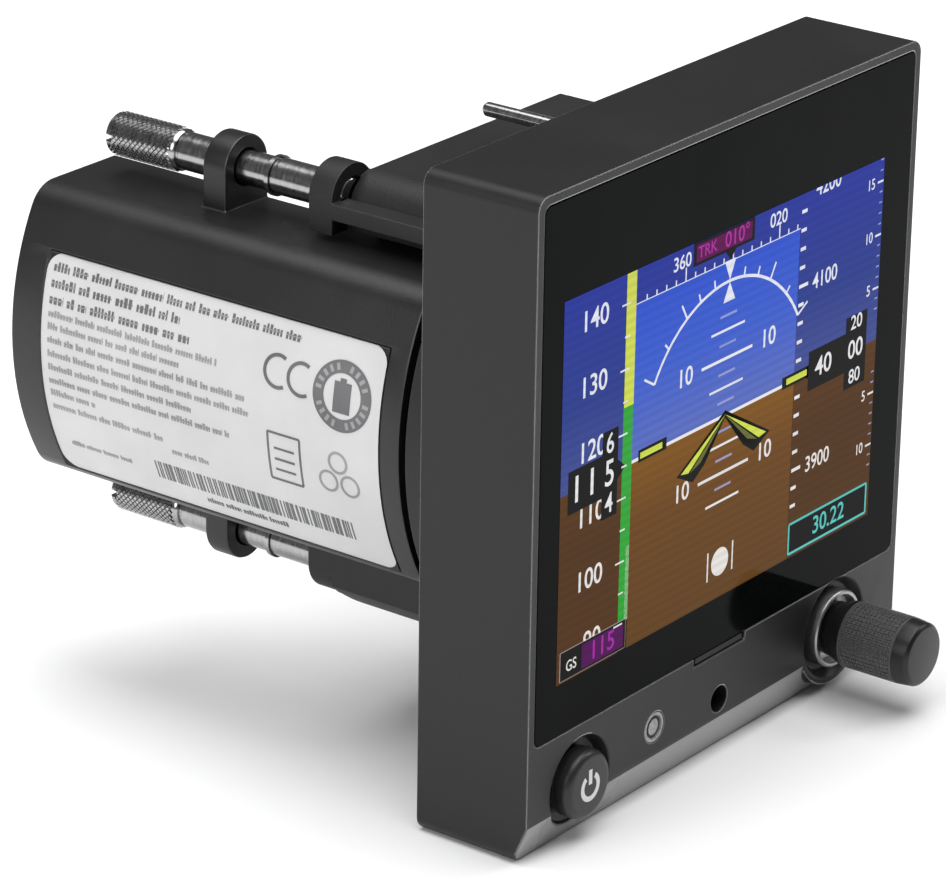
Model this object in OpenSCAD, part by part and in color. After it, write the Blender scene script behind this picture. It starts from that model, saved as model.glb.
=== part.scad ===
// Square electronic flight display for a round instrument hole, with a battery pack on its back.
// The origin is on the barrel's axis, in the plane where the bezel seats on the panel.
// The display faces -Y, the battery and the sockets point to +Y, and +Z is up.

/* [Bezel] */
// Width of the bezel
bezel_w = 86.9; // [86:0.1:106]
// Height of the bezel
bezel_h = 91.4; // [91:0.1:112]
// Depth of the bezel in front of the panel
bezel_d = 18; // [17.5:0.1:22]
// Height of the barrel's axis above the middle of the bezel
barrel_rise = 3.7; // [3:0.1:4.5]
// Thickness of the bezel's side walls
side_wall = 2.4; // [1.6:0.1:2.6]
// Thickness of the bezel's front wall
front_wall = 3.2; // [3:0.1:4]
// Radius of the bezel's four long edges
edge_r = 2; // [1:0.1:3]
// Width of the rim round the glass
rim_w = 1.4; // [1:0.1:2]
// Height of the sloped edge under the controls
slope_h = 5.7; // [2:0.1:7]
// Depth of the sloped edge under the controls
slope_d = 2.45; // [1:0.05:3]
// Height of the strip that carries the controls
chin_h = 16.7; // [16.4:0.1:20]
// Thickness of the cover glass
glass_t = 1.7; // [1:0.1:1.8]

/* [Display] */
// Width of the lit picture
screen_w = 71; // [65:0.1:71.5]
// Height of the lit picture
screen_h = 53.3; // [48:0.1:54]
// How far the picture is moved to the left
screen_shift = 1.5; // [0:0.1:1.6]
// Height of the picture above the glass's lower edge
screen_up = 6.5; // [5:0.1:8]
// Dark border of the display panel beside the picture
lcd_border = 2.95; // [2:0.05:3]
// Thickness of the display panel
lcd_t = 2.3; // [1.5:0.1:2.4]
// Thickness of the backlight
backlight_t = 1.8; // [1:0.1:2]

/* [Controls] */
// Distance of the knob to the right of the middle
knob_x = 28; // [26:0.1:29]
// Height of the knob's axis above the bezel's lower edge
knob_up = 9.3; // [9.3:0.1:10.5]
// Diameter of the knob
knob_d = 9.6; // [8:0.1:9.8]
// How far the knob stands out of the bezel
knob_out = 14.9; // [11:0.1:17]
// Diameter of the knob's shaft
shaft_d = 4; // [3:0.1:5]
// Radius of the knob's dish at the bezel's face
knob_dish_r = 7.4; // [7:0.1:8]
// How far the knob can be pushed
knob_travel = 0.6; // [0.3:0.05:0.7]
// Distance of the power button to the left of the middle
button_x = 31.8; // [30.5:0.1:32]
// Height of the power button's axis above the bezel's lower edge
button_up = 8.1; // [8:0.1:9.5]
// Diameter of the power button
button_d = 9.4; // [9:0.1:11.2]
// How far the power button stands out of the bezel
button_out = 1.6; // [1.1:0.1:2]
// Radius of the button's dish at the bezel's face
button_dish_r = 6.6; // [6.3:0.1:7.2]
// How far the button can be pressed
button_travel = 0.7; // [0.3:0.05:0.8]
// Distance of the light sensor to the left of the middle
lens_x = 15.2; // [13:0.1:16]
// Height of the light sensor above the bezel's lower edge
lens_up = 9.9; // [8:0.1:11]
// Radius of the light sensor's lens
lens_r = 2.15; // [1.5:0.05:2.4]
// Height of the mounting screw above the bezel's lower edge
mount_screw_up = 8.5; // [8.2:0.1:8.5]
// Thread diameter of the mounting screw
mount_screw_d = 3; // [2.5:0.1:3.2]

/* [Barrel] */
// Diameter of the flange that fits the panel hole
flange_d = 77; // [76.9:0.1:77.1]
// Length of the flange behind the panel seat
flange_len = 6.3; // [5.5:0.1:7]
// How far the rear housing reaches behind the panel seat
housing_len = 29; // [29:0.1:33]
// Wall thickness of the rear housing
housing_wall = 2; // [1.5:0.1:2.2]
// Height of the housing's flat top above the barrel's axis
flat_top = 29.1; // [29:0.1:30]
// Height of the locating pin above the barrel's axis
pin_up = 34.3; // [32.5:0.1:35]
// Diameter of the locating pin
pin_d = 2; // [1.5:0.1:2.5]
// How far the locating pin reaches behind the panel seat
pin_len = 23.3; // [12:0.1:28]

/* [Battery] */
// Radius of the battery's outer face about the barrel's axis
battery_r = 38.3; // [37.5:0.1:38.4]
// Half the height of the battery
battery_half_h = 20.9; // [20:0.1:21.2]
// Radius of the battery's long rounded edges
battery_edge_r = 5; // [3:0.1:6]
// Diameter of the battery's cell
cell_d = 18.4; // [17:0.1:18.6]
// Length of the battery's cell
cell_len = 64.5; // [50:0.1:78]
// Wall thickness of the battery's case
battery_wall = 1.4; // [1:0.1:1.6]
// Gap between the flange and the battery's front end
battery_gap = 1.2; // [0.8:0.1:2]
// Height of the thumbscrews above and below the barrel's axis
screw_up = 26.3; // [26:0.1:27]
// Diameter of the thumbscrew's shaft
screw_d = 4.8; // [4:0.1:5]
// Diameter of the thumbscrew's knurled head
head_d = 6.3; // [6:0.1:6.6]
// Distance of the battery's lugs behind the housing's lugs
lug_gap = 14.3; // [12:0.1:16]
// Distance of the thumbscrew's groove behind the housing's lugs
groove_gap = 8.3; // [6.4:0.1:9]
// Length of the thumbscrew's knurled head
head_len = 12.5; // [10:0.1:16]
// How far the thumbscrews back out
screw_travel = 4; // [3:0.1:5]

/* [Sockets] */
// Height of the pressure ports above the barrel's axis
port_up = 13; // [11:0.1:14]
// Distance from one pressure port to the other
port_pitch = 14; // [12:0.1:16]
// Radius of the pressure ports' threaded bores
port_r = 2; // [1.6:0.05:2.2]
// Depth of the data connector below the barrel's axis
data_down = 14; // [13:0.1:15]
// Distance of the antenna socket to the right of the middle
antenna_x = 27; // [26:0.1:28]

/* [Hidden] */
$fn = 64;

over = 1;            // how far a cut runs past the face it starts from
fit = 0.06;          // radial clearance of a shaft that turns or slides in its bore
gap = 0.15;          // clearance between pieces that are fitted together
sheet = 0.3;         // thickness of thin sheet metal

// Bezel
bezel_low = -bezel_h / 2 - barrel_rise;
bezel_top = bezel_h / 2 - barrel_rise;
front_back = -bezel_d + front_wall;          // rear side of the front wall
chin_line = bezel_low + chin_h;              // lower edge of the glass
bond_t = 0.25;
glass_w = bezel_w - 2 * rim_w;
glass_top = bezel_top - rim_w;
pocket_y = -bezel_d + glass_t + bond_t + 0.05;
inner_w = bezel_w - 2 * side_wall;
inner_low = bezel_low + side_wall;
inner_top = bezel_top - side_wall;

// Display stack
screen_low = chin_line + screen_up;
lcd_x0 = -screen_shift - screen_w / 2 - lcd_border;
lcd_x1 = -screen_shift + screen_w / 2 + lcd_border;
lcd_z0 = screen_low - lcd_border - 0.4;
lcd_z1 = screen_low + screen_h + lcd_border + 0.5;
lcd_y = pocket_y - 0.2;
backlight_y = lcd_y + lcd_t;
bracket_y = backlight_y + backlight_t;
bracket_t = 0.8;
bracket_rim = 0.6;
flex_w = 20;
flex_t = 0.2;

// Boards behind the display
board_t = 1.6;
board_y = bracket_y + bracket_t + 2.7;       // front face of the main and control boards
board_back = board_y + board_t;
post_r = 2.2;
pilot_r = 1.05;
board_screw_len = 5.5;
main_low = chin_line - 2.7;
main_post_x = 36;
top_post_x = 30;
top_post_z = inner_top - 4;
low_post_z = main_low + 2.4;
control_top = main_low - 0.5;
control_half_w = 34.8;
control_post_z = bezel_low + 5.9;
control_post_x = [-22.3, 12];
// chips on the main board: x, x, height, z, z
main_chips = [[-8, 6, 1.4, -8, 6], [14, 24, 1.1, -14, -5], [14, 24, 1.1, -2, 7],
    [-26, -18, 1.1, -4, 4], [-28, -24.5, 1.8, -18, -13], [-22, -18.5, 1.8, -18, -13],
    [-16, -12.5, 1.8, -18, -13]];
shield = [-32, -10, 4, 24];                  // x, x, z, z
shield_t = 2.6;
link = [2, 12, -7, -3];                      // connector between the boards: x, x, z, z

// Knob and its encoder
knob_z = bezel_low + knob_up;
knob_r = knob_d / 2;
knob_tip = -bezel_d - knob_out;
dish_depth = 1.6;
dish_floor = -bezel_d + dish_depth;
collar_floor_t = 0.8;
collar_lift = 0.8;                           // how far the collar's rim stands out of the bezel
collar_wall = 0.65;
collar_in_r = knob_r + 0.15;
bushing_r = shaft_d / 2 + 1.5;
knob_back = dish_floor - collar_floor_t - knob_travel - 0.2;
encoder_y = front_back + 0.1;
encoder_half = 5.7;
rotor_y0 = encoder_y + 1.1;
rotor_t = 1.8;
rotor_r = shaft_d / 2 + 2;
shaft_end = rotor_y0 + rotor_t + 1.2;
flat_in = 0.5;                               // depth of the flat along the shaft

// Power button and its switch
button_z = bezel_low + button_up;
button_r = button_d / 2;
button_floor = -bezel_d + 2;
button_face = -bezel_d - button_out;
button_back = button_floor - button_travel - 0.2;
stem_r = 4;
catch_r = 4.8;                               // flange that keeps the button in
catch_t = 0.7;
plunger_r = 1;
switch_t = 2.4;
switch_y = board_y - switch_t;
stem_end = switch_y - button_travel - 0.5;

// Light sensor, memory card and mounting screw
lens_z = bezel_low + lens_up;
card_w = 11;
card_len = 15;
card_t = 0.8;
card_x = -0.3;
card_z = chin_line - 0.65;
slot_w = card_w + 1;
slot_h = 1.3;
card_front = -bezel_d + 0.2;
socket_w = 14.4;
mount_z = bezel_low + mount_screw_up;
mount_r = mount_screw_d / 2;
mount_neck_r = mount_r - 0.2;
mount_head_r = mount_r + 1.1;
mount_head_t = 3.4;
mount_travel = 3;
mount_head_y = front_back + mount_travel + 0.6;
mount_tube_r = mount_head_r + 0.4;
mount_washer_t = 0.6;
mount_tip = 9.5;
key_hole_r = 1.9;

// Chassis, barrel and rear housing
flange_r = flange_d / 2;
barrel_r = flange_r - 0.2;
plate_t = 2.5;
pin_step = 0.2;                              // how much thinner the locating pin's root is
opening = [-5, 19, -25, 15];                 // way through for the boards' connector: x, x, z, z
corner_in_x = inner_w / 2 - 2.6;
corner_top = inner_top - 2.6;
corner_low = inner_low + 2.4;
corner_r = 2.2;
lug_r = 4.5;
lug_t = 4;
inner_x = -(battery_r - 2 * battery_wall - cell_d - 0.6);   // the battery's flat inner side
bay_x = inner_x + 0.5;
bay_half_h = battery_half_h + 0.8;
screw_x = inner_x - lug_r;
wing_x = screw_x - 1;
lug_x = screw_x - lug_r;
lug_end = housing_len + lug_t;
rail = [screw_up - 2.4, screw_up - 0.1];     // lower and upper edge of the rail beside the bay
cavity_x = bay_x + housing_wall;
housing_screw_at = [[24, 22.5], [26, -22], [-9.5, -30], [-9.5, 22.5]];
screw_post_r = 3;
plate_at = [-5, 19, flat_top - 8.5, flat_top - 2];    // rating plate: x, x, z, z

// Battery
battery_y0 = flange_len + battery_gap;
end_wall = 1.2;
cell_play = 0.3;
battery_y1 = battery_y0 + 2 * end_wall + cell_len + 2 * cell_play;
cell_x = -(battery_r - battery_wall - cell_d / 2 - cell_play);
battery_lug_y0 = lug_end + lug_gap;
battery_lug_y1 = battery_lug_y0 + lug_t;
label_arc = [-29.5, 20.5];                   // degrees below and above the middle
label_in = 3.4;                              // how far the label stays from the front end
label_out = 5.4;                             // how far the label stays from the rear end
label_t = 0.2;
contact_x = [-3, 0, 3];                      // places of the contacts beside the cell's axis
contact_y = 4.5;
contact_r = 0.6;
pad_half = [1, 1.9];
pad_t = 0.3;

// Thumbscrews
thumb_r = screw_d / 2;
nose_r = thumb_r + 0.15;
nose_y = housing_len + 0.2;
lug_bore_r = nose_r + fit;
groove_y = lug_end + groove_gap;
groove_w = 0.8;
groove_r = thumb_r - 0.45;
ring_r = thumb_r + 0.45;
neck_r = head_d / 2 - 0.5;
neck_y = battery_lug_y1 + 0.3;
head_y0 = neck_y + 6.3;
slot_deep = 1.6;                             // slot across the head's end

// Sensors and sockets at the rear
sensor_y = flange_len + 0.9;
sensor_back = sensor_y + board_t;
sensor_area = [-12, 30, -18, 18];            // sensor board: x, x, z, z
// chips on the sensor board: x, x, height, z, z
small_chips = [[-9, -5, 1.1, 0, 4], [-9, -5, 1.1, -8, -4], [21, 27, 1.4, -8, -2]];
port_x = [0, port_pitch];
port_in = housing_len - 7.5;                 // where the port's barb starts
port_lip = 2.5;
barb_r = 1.6;
barb_len = 4.5;
sensor_box = [9, 3, 9];
data_x = 8;
data_flange = [30.8, 0.8, 12.5];
data_reach = 6;                              // how far the plug shell stands out
post_pitch = 25;
antenna_z = 2;
antenna_reach = 12;
patch_rim = 1;                               // board past the antenna on each side
patch = housing_len - housing_wall - flange_len - 3.3 * patch_rim;
patch_t = 4;

plastic = [0.17, 0.17, 0.18];
black_plastic = [0.1, 0.1, 0.1];
steel = [0.72, 0.72, 0.74];
gold = [0.85, 0.68, 0.3];
board_green = [0.05, 0.3, 0.15];

// ---------- shapes that repeat ----------

// Block between two corners
module block(x0, x1, y0, y1, z0, z1) {
    translate([x0, y0, z0]) cube([x1 - x0, y1 - y0, z1 - z0]);
}

// Round rod along Y, with radius r0 at y0 and r1 at y1
module rod(x, z, y0, y1, r0, r1 = undef) {
    translate([x, y1, z]) rotate([90, 0, 0])
        cylinder(h = y1 - y0, r1 = is_undef(r1) ? r0 : r1, r2 = r0);
}

// Outline drawn in X and Z, given its depth along Y
module slab(y0, y1) {
    translate([0, y1, 0]) rotate([90, 0, 0]) linear_extrude(y1 - y0) children();
}

// Profile of radius against Y, turned round an axis along Y
module turned(x, z) {
    translate([x, 0, z]) rotate([-90, 0, 0]) rotate_extrude() children();
}

// Rectangle with round corners between two corners
module round_rect(x0, x1, z0, z1, r) {
    translate([x0 + r, z0]) square([x1 - x0 - 2 * r, z1 - z0]);
    translate([x0, z0 + r]) square([x1 - x0, z1 - z0 - 2 * r]);
    for (x = [x0 + r, x1 - r], z = [z0 + r, z1 - r])
        translate([x, z]) circle(r);
}

// Screw with its head at the rear: head from y_head rearwards, shank forwards
module rear_screw(x, z, y_head, head_r, head_t, shank_r, length) {
    difference() {
        union() {
            rod(x, z, y_head, y_head + head_t, head_r);
            rod(x, z, y_head - length, y_head, shank_r);
        }
        translate([x, y_head + head_t / 2, z]) rotate([-90, 0, 0])
            cylinder(h = head_t, r = head_r * 0.55, $fn = 6);
    }
}

// Rounded lug of the thumbscrews, above the axis, between two places along Y
module lug(y0, y1, z_root) {
    difference() {
        union() {
            rod(screw_x, screw_up, y0, y1, lug_r);
            block(lug_x, inner_x, y0, y1, z_root, screw_up);
        }
        rod(screw_x, screw_up, y0 - over, y1 + over, lug_bore_r);
    }
}

module both_ways() {
    children();
    mirror([0, 0, 1]) children();
}

// ---------- bezel and display ----------

module glass_outline(grow = 0) {
    round_rect(-glass_w / 2 - grow, glass_w / 2 + grow, chin_line - grow, glass_top + grow, 1.2);
}

module lcd_outline(grow = 0) {
    translate([lcd_x0 - grow, lcd_z0 - grow])
        square([lcd_x1 - lcd_x0 + 2 * grow, lcd_z1 - lcd_z0 + 2 * grow]);
}

module bezel_inside() {
    round_rect(-inner_w / 2, inner_w / 2, inner_low, inner_top, 0.8);
}

module bezel_slope() {
    rotate([90, 0, 90]) translate([0, 0, -bezel_w])
        linear_extrude(2 * bezel_w) polygon([
            [-bezel_d - over, bezel_low + slope_h], [-bezel_d, bezel_low + slope_h],
            [-bezel_d + slope_d, bezel_low], [-bezel_d + slope_d, bezel_low - over],
            [-bezel_d - over, bezel_low - over]]);
}

module bezel() {
    color(plastic) difference() {
        union() {
            difference() {
                slab(-bezel_d, 0)
                    round_rect(-bezel_w / 2, bezel_w / 2, bezel_low, bezel_top, edge_r);
                bezel_slope();
                slab(front_back, over) bezel_inside();
            }
            // lip round the knob's dish
            rod(knob_x, knob_z, -bezel_d, front_back, knob_dish_r + 0.9);
            // posts for the boards, and corner posts for the chassis
            for (x = [-1, 1]) {
                rod(x * top_post_x, top_post_z, front_back - 0.5, board_y, post_r);
                rod(x * main_post_x, low_post_z, front_back - 0.5, board_y, post_r);
                for (z = [corner_top, corner_low])
                    rod(x * corner_in_x, z, front_back - 0.5, -plate_t - gap, corner_r);
            }
            for (x = control_post_x)
                rod(x, control_post_z, front_back - 0.5, board_y, post_r - 0.2);
            rod(0, mount_z, front_back - 0.5, board_y - 0.2, mount_tube_r + 0.9);
        }
        slab(-bezel_d - over, pocket_y) glass_outline(gap / 2);
        slab(pocket_y - over, front_back + over) lcd_outline(gap);
        // knob
        rod(knob_x, knob_z, -bezel_d, dish_floor, knob_dish_r, knob_dish_r - 1);
        rod(knob_x, knob_z, dish_floor - over, front_back + over, bushing_r + gap);
        // power button
        rod(-button_x, button_z, -bezel_d, button_floor, button_dish_r, button_dish_r - 0.8);
        rod(-button_x, button_z, button_floor - over, front_back + over, stem_r + fit);
        // light sensor and card slot
        rod(-lens_x, lens_z, -bezel_d - over, front_back + over, lens_r + 0.05);
        block(card_x - slot_w / 2, card_x + slot_w / 2, -bezel_d - over, front_back + over,
            card_z - slot_h / 2, card_z + slot_h / 2);
        // mounting screw, with its key hole in the front wall
        rod(0, mount_z, -bezel_d - over, front_back + over, key_hole_r);
        rod(0, mount_z, front_back, board_y + over, mount_tube_r);
        // pilot holes of the posts
        for (x = [-1, 1]) {
            rod(x * top_post_x, top_post_z, front_back, board_y + over, pilot_r);
            rod(x * main_post_x, low_post_z, front_back, board_y + over, pilot_r);
            for (z = [corner_top, corner_low])
                rod(x * corner_in_x, z, front_back, 0, pilot_r + 0.2);
        }
        for (x = control_post_x)
            rod(x, control_post_z, front_back, board_y + over, pilot_r);
    }
}

module cover_glass() {
    color([0.05, 0.05, 0.06]) slab(-bezel_d + 0.05, -bezel_d + 0.05 + glass_t) glass_outline();
}

module glass_bond() {
    color("black") slab(pocket_y - bond_t, pocket_y) difference() {
        glass_outline(-0.4);
        lcd_outline(gap);
    }
}

module lcd_panel() {
    color([0.2, 0.3, 0.6]) slab(lcd_y, backlight_y) lcd_outline();
}

module backlight() {
    color("white") slab(backlight_y, bracket_y) lcd_outline(-bracket_rim);
}

module display_bracket() {
    color(steel) slab(bracket_y, bracket_y + bracket_t) difference() {
        lcd_outline(bracket_rim);
        lcd_outline(-6);
        translate([-flex_w / 2 - 1, lcd_z1 - 1]) square([flex_w + 2, 3]);
    }
}

module display_flex() {
    color([0.75, 0.45, 0.1]) {
        block(-flex_w / 2, flex_w / 2, backlight_y, board_y, lcd_z1 - 0.4, lcd_z1 - 0.4 + flex_t);
        block(-flex_w / 2, flex_w / 2, board_y - flex_t, board_y, lcd_z1 - 7, lcd_z1 - 0.4);
    }
}

// ---------- boards in the bezel ----------

module main_board() {
    half_w = inner_w / 2 - 0.9;
    color(board_green) difference() {
        block(-half_w, half_w, board_y, board_back, main_low, inner_top - 0.6);
        block(card_x - socket_w / 2 - 0.6, card_x + socket_w / 2 + 0.6, board_y - over,
            board_back + over, main_low - over, chin_line + 1.2);
        for (x = [-1, 1]) {
            rod(x * corner_in_x, corner_top, board_y - over, board_back + over, corner_r + 0.8);
            rod(x * top_post_x, top_post_z, board_y - over, board_back + over, pilot_r + 0.05);
            rod(x * main_post_x, low_post_z, board_y - over, board_back + over, pilot_r + 0.05);
        }
    }
}

module main_board_chips() {
    color([0.08, 0.08, 0.08]) for (c = main_chips)
        block(c[0], c[1], board_y - c[2], board_y, c[3], c[4]);
}

module board_shield() {
    color(steel) difference() {
        block(shield[0], shield[1], board_back, board_back + shield_t, shield[2], shield[3]);
        block(shield[0] + sheet, shield[1] - sheet, board_back - over,
            board_back + shield_t - sheet, shield[2] + sheet, shield[3] - sheet);
    }
}

module board_screws() {
    color(steel) {
        for (x = [-1, 1]) {
            rear_screw(x * top_post_x, top_post_z, board_back, 1.9, 1.2, pilot_r,
                board_screw_len);
            rear_screw(x * main_post_x, low_post_z, board_back, 1.9, 1.2, pilot_r,
                board_screw_len);
        }
        for (x = control_post_x)
            rear_screw(x, control_post_z, board_back, 1.9, 1.2, pilot_r, board_screw_len);
    }
}

module control_board() {
    color(board_green) difference() {
        block(-control_half_w, control_half_w, board_y, board_back, inner_low + 0.3,
            control_top);
        rod(0, mount_z, board_y - over, board_back + over, mount_tube_r + 0.4);
        for (x = control_post_x)
            rod(x, control_post_z, board_y - over, board_back + over, pilot_r + 0.05);
    }
}

// ---------- knob ----------

module shaft_outline(grow = 0) {
    difference() {
        circle(shaft_d / 2 + grow);
        translate([-shaft_d, shaft_d / 2 - flat_in + grow]) square([2 * shaft_d, shaft_d]);
    }
}

module encoder_body() {
    color(steel) difference() {
        union() {
            block(knob_x - encoder_half, knob_x + encoder_half, encoder_y, board_y,
                knob_z - encoder_half, knob_z + encoder_half);
            rod(knob_x, knob_z, dish_floor - collar_floor_t, encoder_y, bushing_r);
        }
        rod(knob_x, knob_z, dish_floor - collar_floor_t - over, shaft_end + knob_travel + 0.3,
            shaft_d / 2 + fit);
        rod(knob_x, knob_z, rotor_y0 - 0.2, rotor_y0 + rotor_t + 0.2, rotor_r + 0.2);
    }
}

module encoder_rotor() {
    color(gold) translate([knob_x, 0, knob_z]) slab(rotor_y0, rotor_y0 + rotor_t)
        difference() {
            circle(rotor_r);
            shaft_outline(fit);
        }
}

module knob_shaft() {
    color(steel) translate([knob_x, 0, knob_z]) slab(knob_tip + 4, shaft_end) shaft_outline();
}

module knob() {
    foot_r = knob_r - 0.9;
    neck_y = -bezel_d - 3.2;
    color(plastic) difference() {
        turned(knob_x, knob_z) polygon([
            [0, knob_tip], [knob_r - 0.7, knob_tip], [knob_r - 0.25, knob_tip + 0.45],
            [knob_r, knob_tip + 2], [knob_r, neck_y], [foot_r, -bezel_d - 0.9],
            [foot_r, knob_back], [0, knob_back]]);
        translate([knob_x, 0, knob_z]) slab(knob_tip + 4, 0) shaft_outline();
    }
}

module knob_collar() {
    rim_y = -bezel_d - collar_lift;
    floor_y = dish_floor - collar_floor_t;
    out_r = collar_in_r + collar_wall;
    color([0.3, 0.3, 0.31]) turned(knob_x, knob_z) polygon([
        [bushing_r + 0.02, dish_floor], [out_r, dish_floor], [out_r, rim_y + 0.2],
        [out_r - 0.2, rim_y], [collar_in_r + 0.1, rim_y], [collar_in_r, rim_y + 0.1],
        [collar_in_r, floor_y], [bushing_r + 0.02, floor_y]]);
}

// ---------- power button ----------

module power_button() {
    color(black_plastic) turned(-button_x, button_z) polygon([
        [0, button_face], [button_r - 1.1, button_face], [button_r, button_face + 1.1],
        [button_r, button_back], [stem_r, button_back], [stem_r, front_back + 0.1],
        [catch_r, front_back + 0.1], [catch_r, front_back + 0.1 + catch_t],
        [stem_r / 2, front_back + 0.1 + catch_t], [stem_r / 2, stem_end], [0, stem_end]]);
}

module switch_body() {
    color(black_plastic) difference() {
        block(-button_x - 3, -button_x + 3, switch_y, board_y, button_z - 3, button_z + 3);
        rod(-button_x, button_z, switch_y - over, board_y - 0.4, plunger_r + fit);
    }
}

module switch_plunger() {
    color("white") rod(-button_x, button_z, stem_end, board_y - 0.6 - button_travel, plunger_r);
}

// ---------- light sensor, memory card, mounting screw ----------

module light_sensor_lens() {
    color([0.85, 0.85, 0.85]) {
        rod(-lens_x, lens_z, -bezel_d + 0.05, front_back + 0.05, lens_r);
        rod(-lens_x, lens_z, front_back + 0.05, front_back + 0.55, lens_r + 0.75);
        rod(-lens_x, lens_z, front_back + 0.55, board_y - 0.9, lens_r - 0.6);
    }
}

module light_sensor() {
    color([0.15, 0.15, 0.15])
        block(-lens_x - 1, -lens_x + 1, board_y - 0.8, board_y, lens_z - 1, lens_z + 1);
}

module card_socket() {
    wall = 0.4;
    y0 = front_back + 0.2;
    y1 = card_front + card_len + 0.1;
    color(steel) difference() {
        block(card_x - socket_w / 2, card_x + socket_w / 2, y0, y1,
            card_z - card_t / 2 - gap - wall, card_z + card_t / 2 + gap + wall);
        block(card_x - card_w / 2 - gap, card_x + card_w / 2 + gap, y0 - over, y1 + over,
            card_z - card_t / 2 - gap, card_z + card_t / 2 + gap);
    }
}

module memory_card() {
    color(black_plastic) translate([card_x, 0, card_z - card_t / 2]) linear_extrude(card_t)
        difference() {
            translate([-card_w / 2, card_front]) square([card_w, card_len]);
            translate([card_w / 2 - 1.2, card_front + card_len - 6.4]) square([2, 7]);
        }
}

module mounting_screw() {
    color(steel) difference() {
        union() {
            rod(0, mount_z, mount_head_y, mount_head_y + mount_head_t, mount_head_r);
            rod(0, mount_z, mount_head_y + mount_head_t, 1, mount_neck_r);
            rod(0, mount_z, 1, mount_tip, mount_r);
        }
        translate([0, mount_head_y + 2, mount_z]) rotate([90, 0, 0])
            cylinder(h = 2 + over, r = 1.35, $fn = 6);
    }
}

module mounting_screw_washer() {
    y0 = mount_head_y + mount_head_t + 0.05;
    color(steel) difference() {
        rod(0, mount_z, y0, y0 + mount_washer_t, mount_head_r + 0.2);
        rod(0, mount_z, y0 - over, y0 + mount_washer_t + over, mount_neck_r + fit);
    }
}

// ---------- chassis ----------

module chassis() {
    color([0.12, 0.12, 0.12]) difference() {
        union() {
            slab(-plate_t, 0) round_rect(-inner_w / 2 + gap, inner_w / 2 - gap,
                inner_low + gap, inner_top - gap, 0.8);
            rod(0, 0, 0, flange_len, flange_r);
        }
        block(opening[0], opening[1], -plate_t - over, flange_len + over,
            opening[2], opening[3]);
        rod(0, mount_z, -plate_t - over, flange_len + over, mount_r + fit);
        rod(0, pin_up, 1, flange_len + over, pin_d / 2 - pin_step);
        for (x = [-1, 1], z = [corner_top, corner_low]) {
            rod(x * corner_in_x, z, -plate_t - over, over, pilot_r + 0.2);
            rod(x * corner_in_x, z, -1.4, over, 2.1);
        }
        for (p = housing_screw_at)
            rod(p[0], p[1], 1.5, flange_len + over, pilot_r + 0.2);
        contact_pocket(0);
    }
}

module contact_pocket(inset) {
    block(cell_x - 5 + inset, cell_x + 5 - inset, 3.5, flange_len + (inset > 0 ? 0 : over),
        -4 + inset, 4 - inset);
}

module chassis_screws() {
    color(steel) for (x = [-1, 1], z = [corner_top, corner_low])
        rear_screw(x * corner_in_x, z, -1.35, 1.9, 1.2, pilot_r + 0.15, 7);
}

module locating_pin() {
    color(steel) {
        rod(0, pin_up, 1, flange_len + 0.1, pin_d / 2 - pin_step);
        rod(0, pin_up, flange_len + 0.1, pin_len - 0.5, pin_d / 2);
        rod(0, pin_up, pin_len - 0.5, pin_len, pin_d / 2, pin_d / 2 - 0.4);
    }
}

module contact_block() {
    color(black_plastic) difference() {
        contact_pocket(0.05);
        for (x = contact_x) rod(cell_x + x, 0, contact_y, flange_len + over, contact_r);
    }
}

module contact_pins() {
    color(gold) for (x = contact_x)
        rod(cell_x + x, 0, contact_y, battery_y0 - gap, contact_r);
}

// ---------- rear housing ----------

// Barrel with a flat top and a bay cut out for the battery
module housing_outline() {
    corner = 5;
    difference() {
        intersection() {
            circle(barrel_r);
            translate([-2 * barrel_r, flat_top - 4 * barrel_r]) square(4 * barrel_r);
        }
        translate([bay_x - 2 * barrel_r, -bay_half_h]) square([2 * barrel_r, 2 * bay_half_h]);
        translate([wing_x - 2 * barrel_r, 0]) square(2 * barrel_r);
        translate([lug_x - 2 * barrel_r, -2 * barrel_r]) square(2 * barrel_r);
        difference() {
            translate([wing_x - over, flat_top - corner]) square(corner + over);
            translate([wing_x + corner, flat_top - corner]) circle(corner);
            translate([wing_x + corner, flat_top - corner - over]) square(corner + over);
        }
    }
}

module rear_housing() {
    color([0.12, 0.12, 0.12]) difference() {
        union() {
            difference() {
                slab(flange_len, housing_len) housing_outline();
                slab(flange_len - over, housing_len - housing_wall) intersection() {
                    circle(barrel_r - housing_wall);
                    translate([cavity_x, -barrel_r])
                        square([2 * barrel_r, barrel_r + flat_top - housing_wall]);
                }
            }
            block(lug_x, wing_x, flange_len, housing_len, rail[0], rail[1]);
            both_ways() lug(housing_len, lug_end, bay_half_h);
            for (p = housing_screw_at)
                rod(p[0], p[1], flange_len, housing_len - 0.5, screw_post_r);
        }
        for (p = housing_screw_at) {
            rod(p[0], p[1], flange_len - over, housing_len + over, pilot_r + 0.3);
            rod(p[0], p[1], housing_len - 2, housing_len + over, 2.5);
        }
        for (x = port_x)
            rod(x, port_up, housing_len - housing_wall - over, housing_len + over, 3.25);
        slab(housing_len - housing_wall - over, housing_len + over) data_outline(0.2);
        rod(antenna_x, antenna_z, housing_len - housing_wall - over, housing_len + over, 4.05);
        block(plate_at[0], plate_at[1], housing_len - sheet, housing_len + over,
            plate_at[2], plate_at[3]);
    }
}

module rating_plate() {
    color([0.75, 0.75, 0.75]) block(plate_at[0] + gap, plate_at[1] - gap, housing_len - sheet,
        housing_len - 0.05, plate_at[2] + gap, plate_at[3] - gap);
}

module housing_screws() {
    color(steel) for (p = housing_screw_at)
        rear_screw(p[0], p[1], housing_len - 2, 2.3, 1.4, pilot_r + 0.2, housing_len - 4);
}

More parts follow.
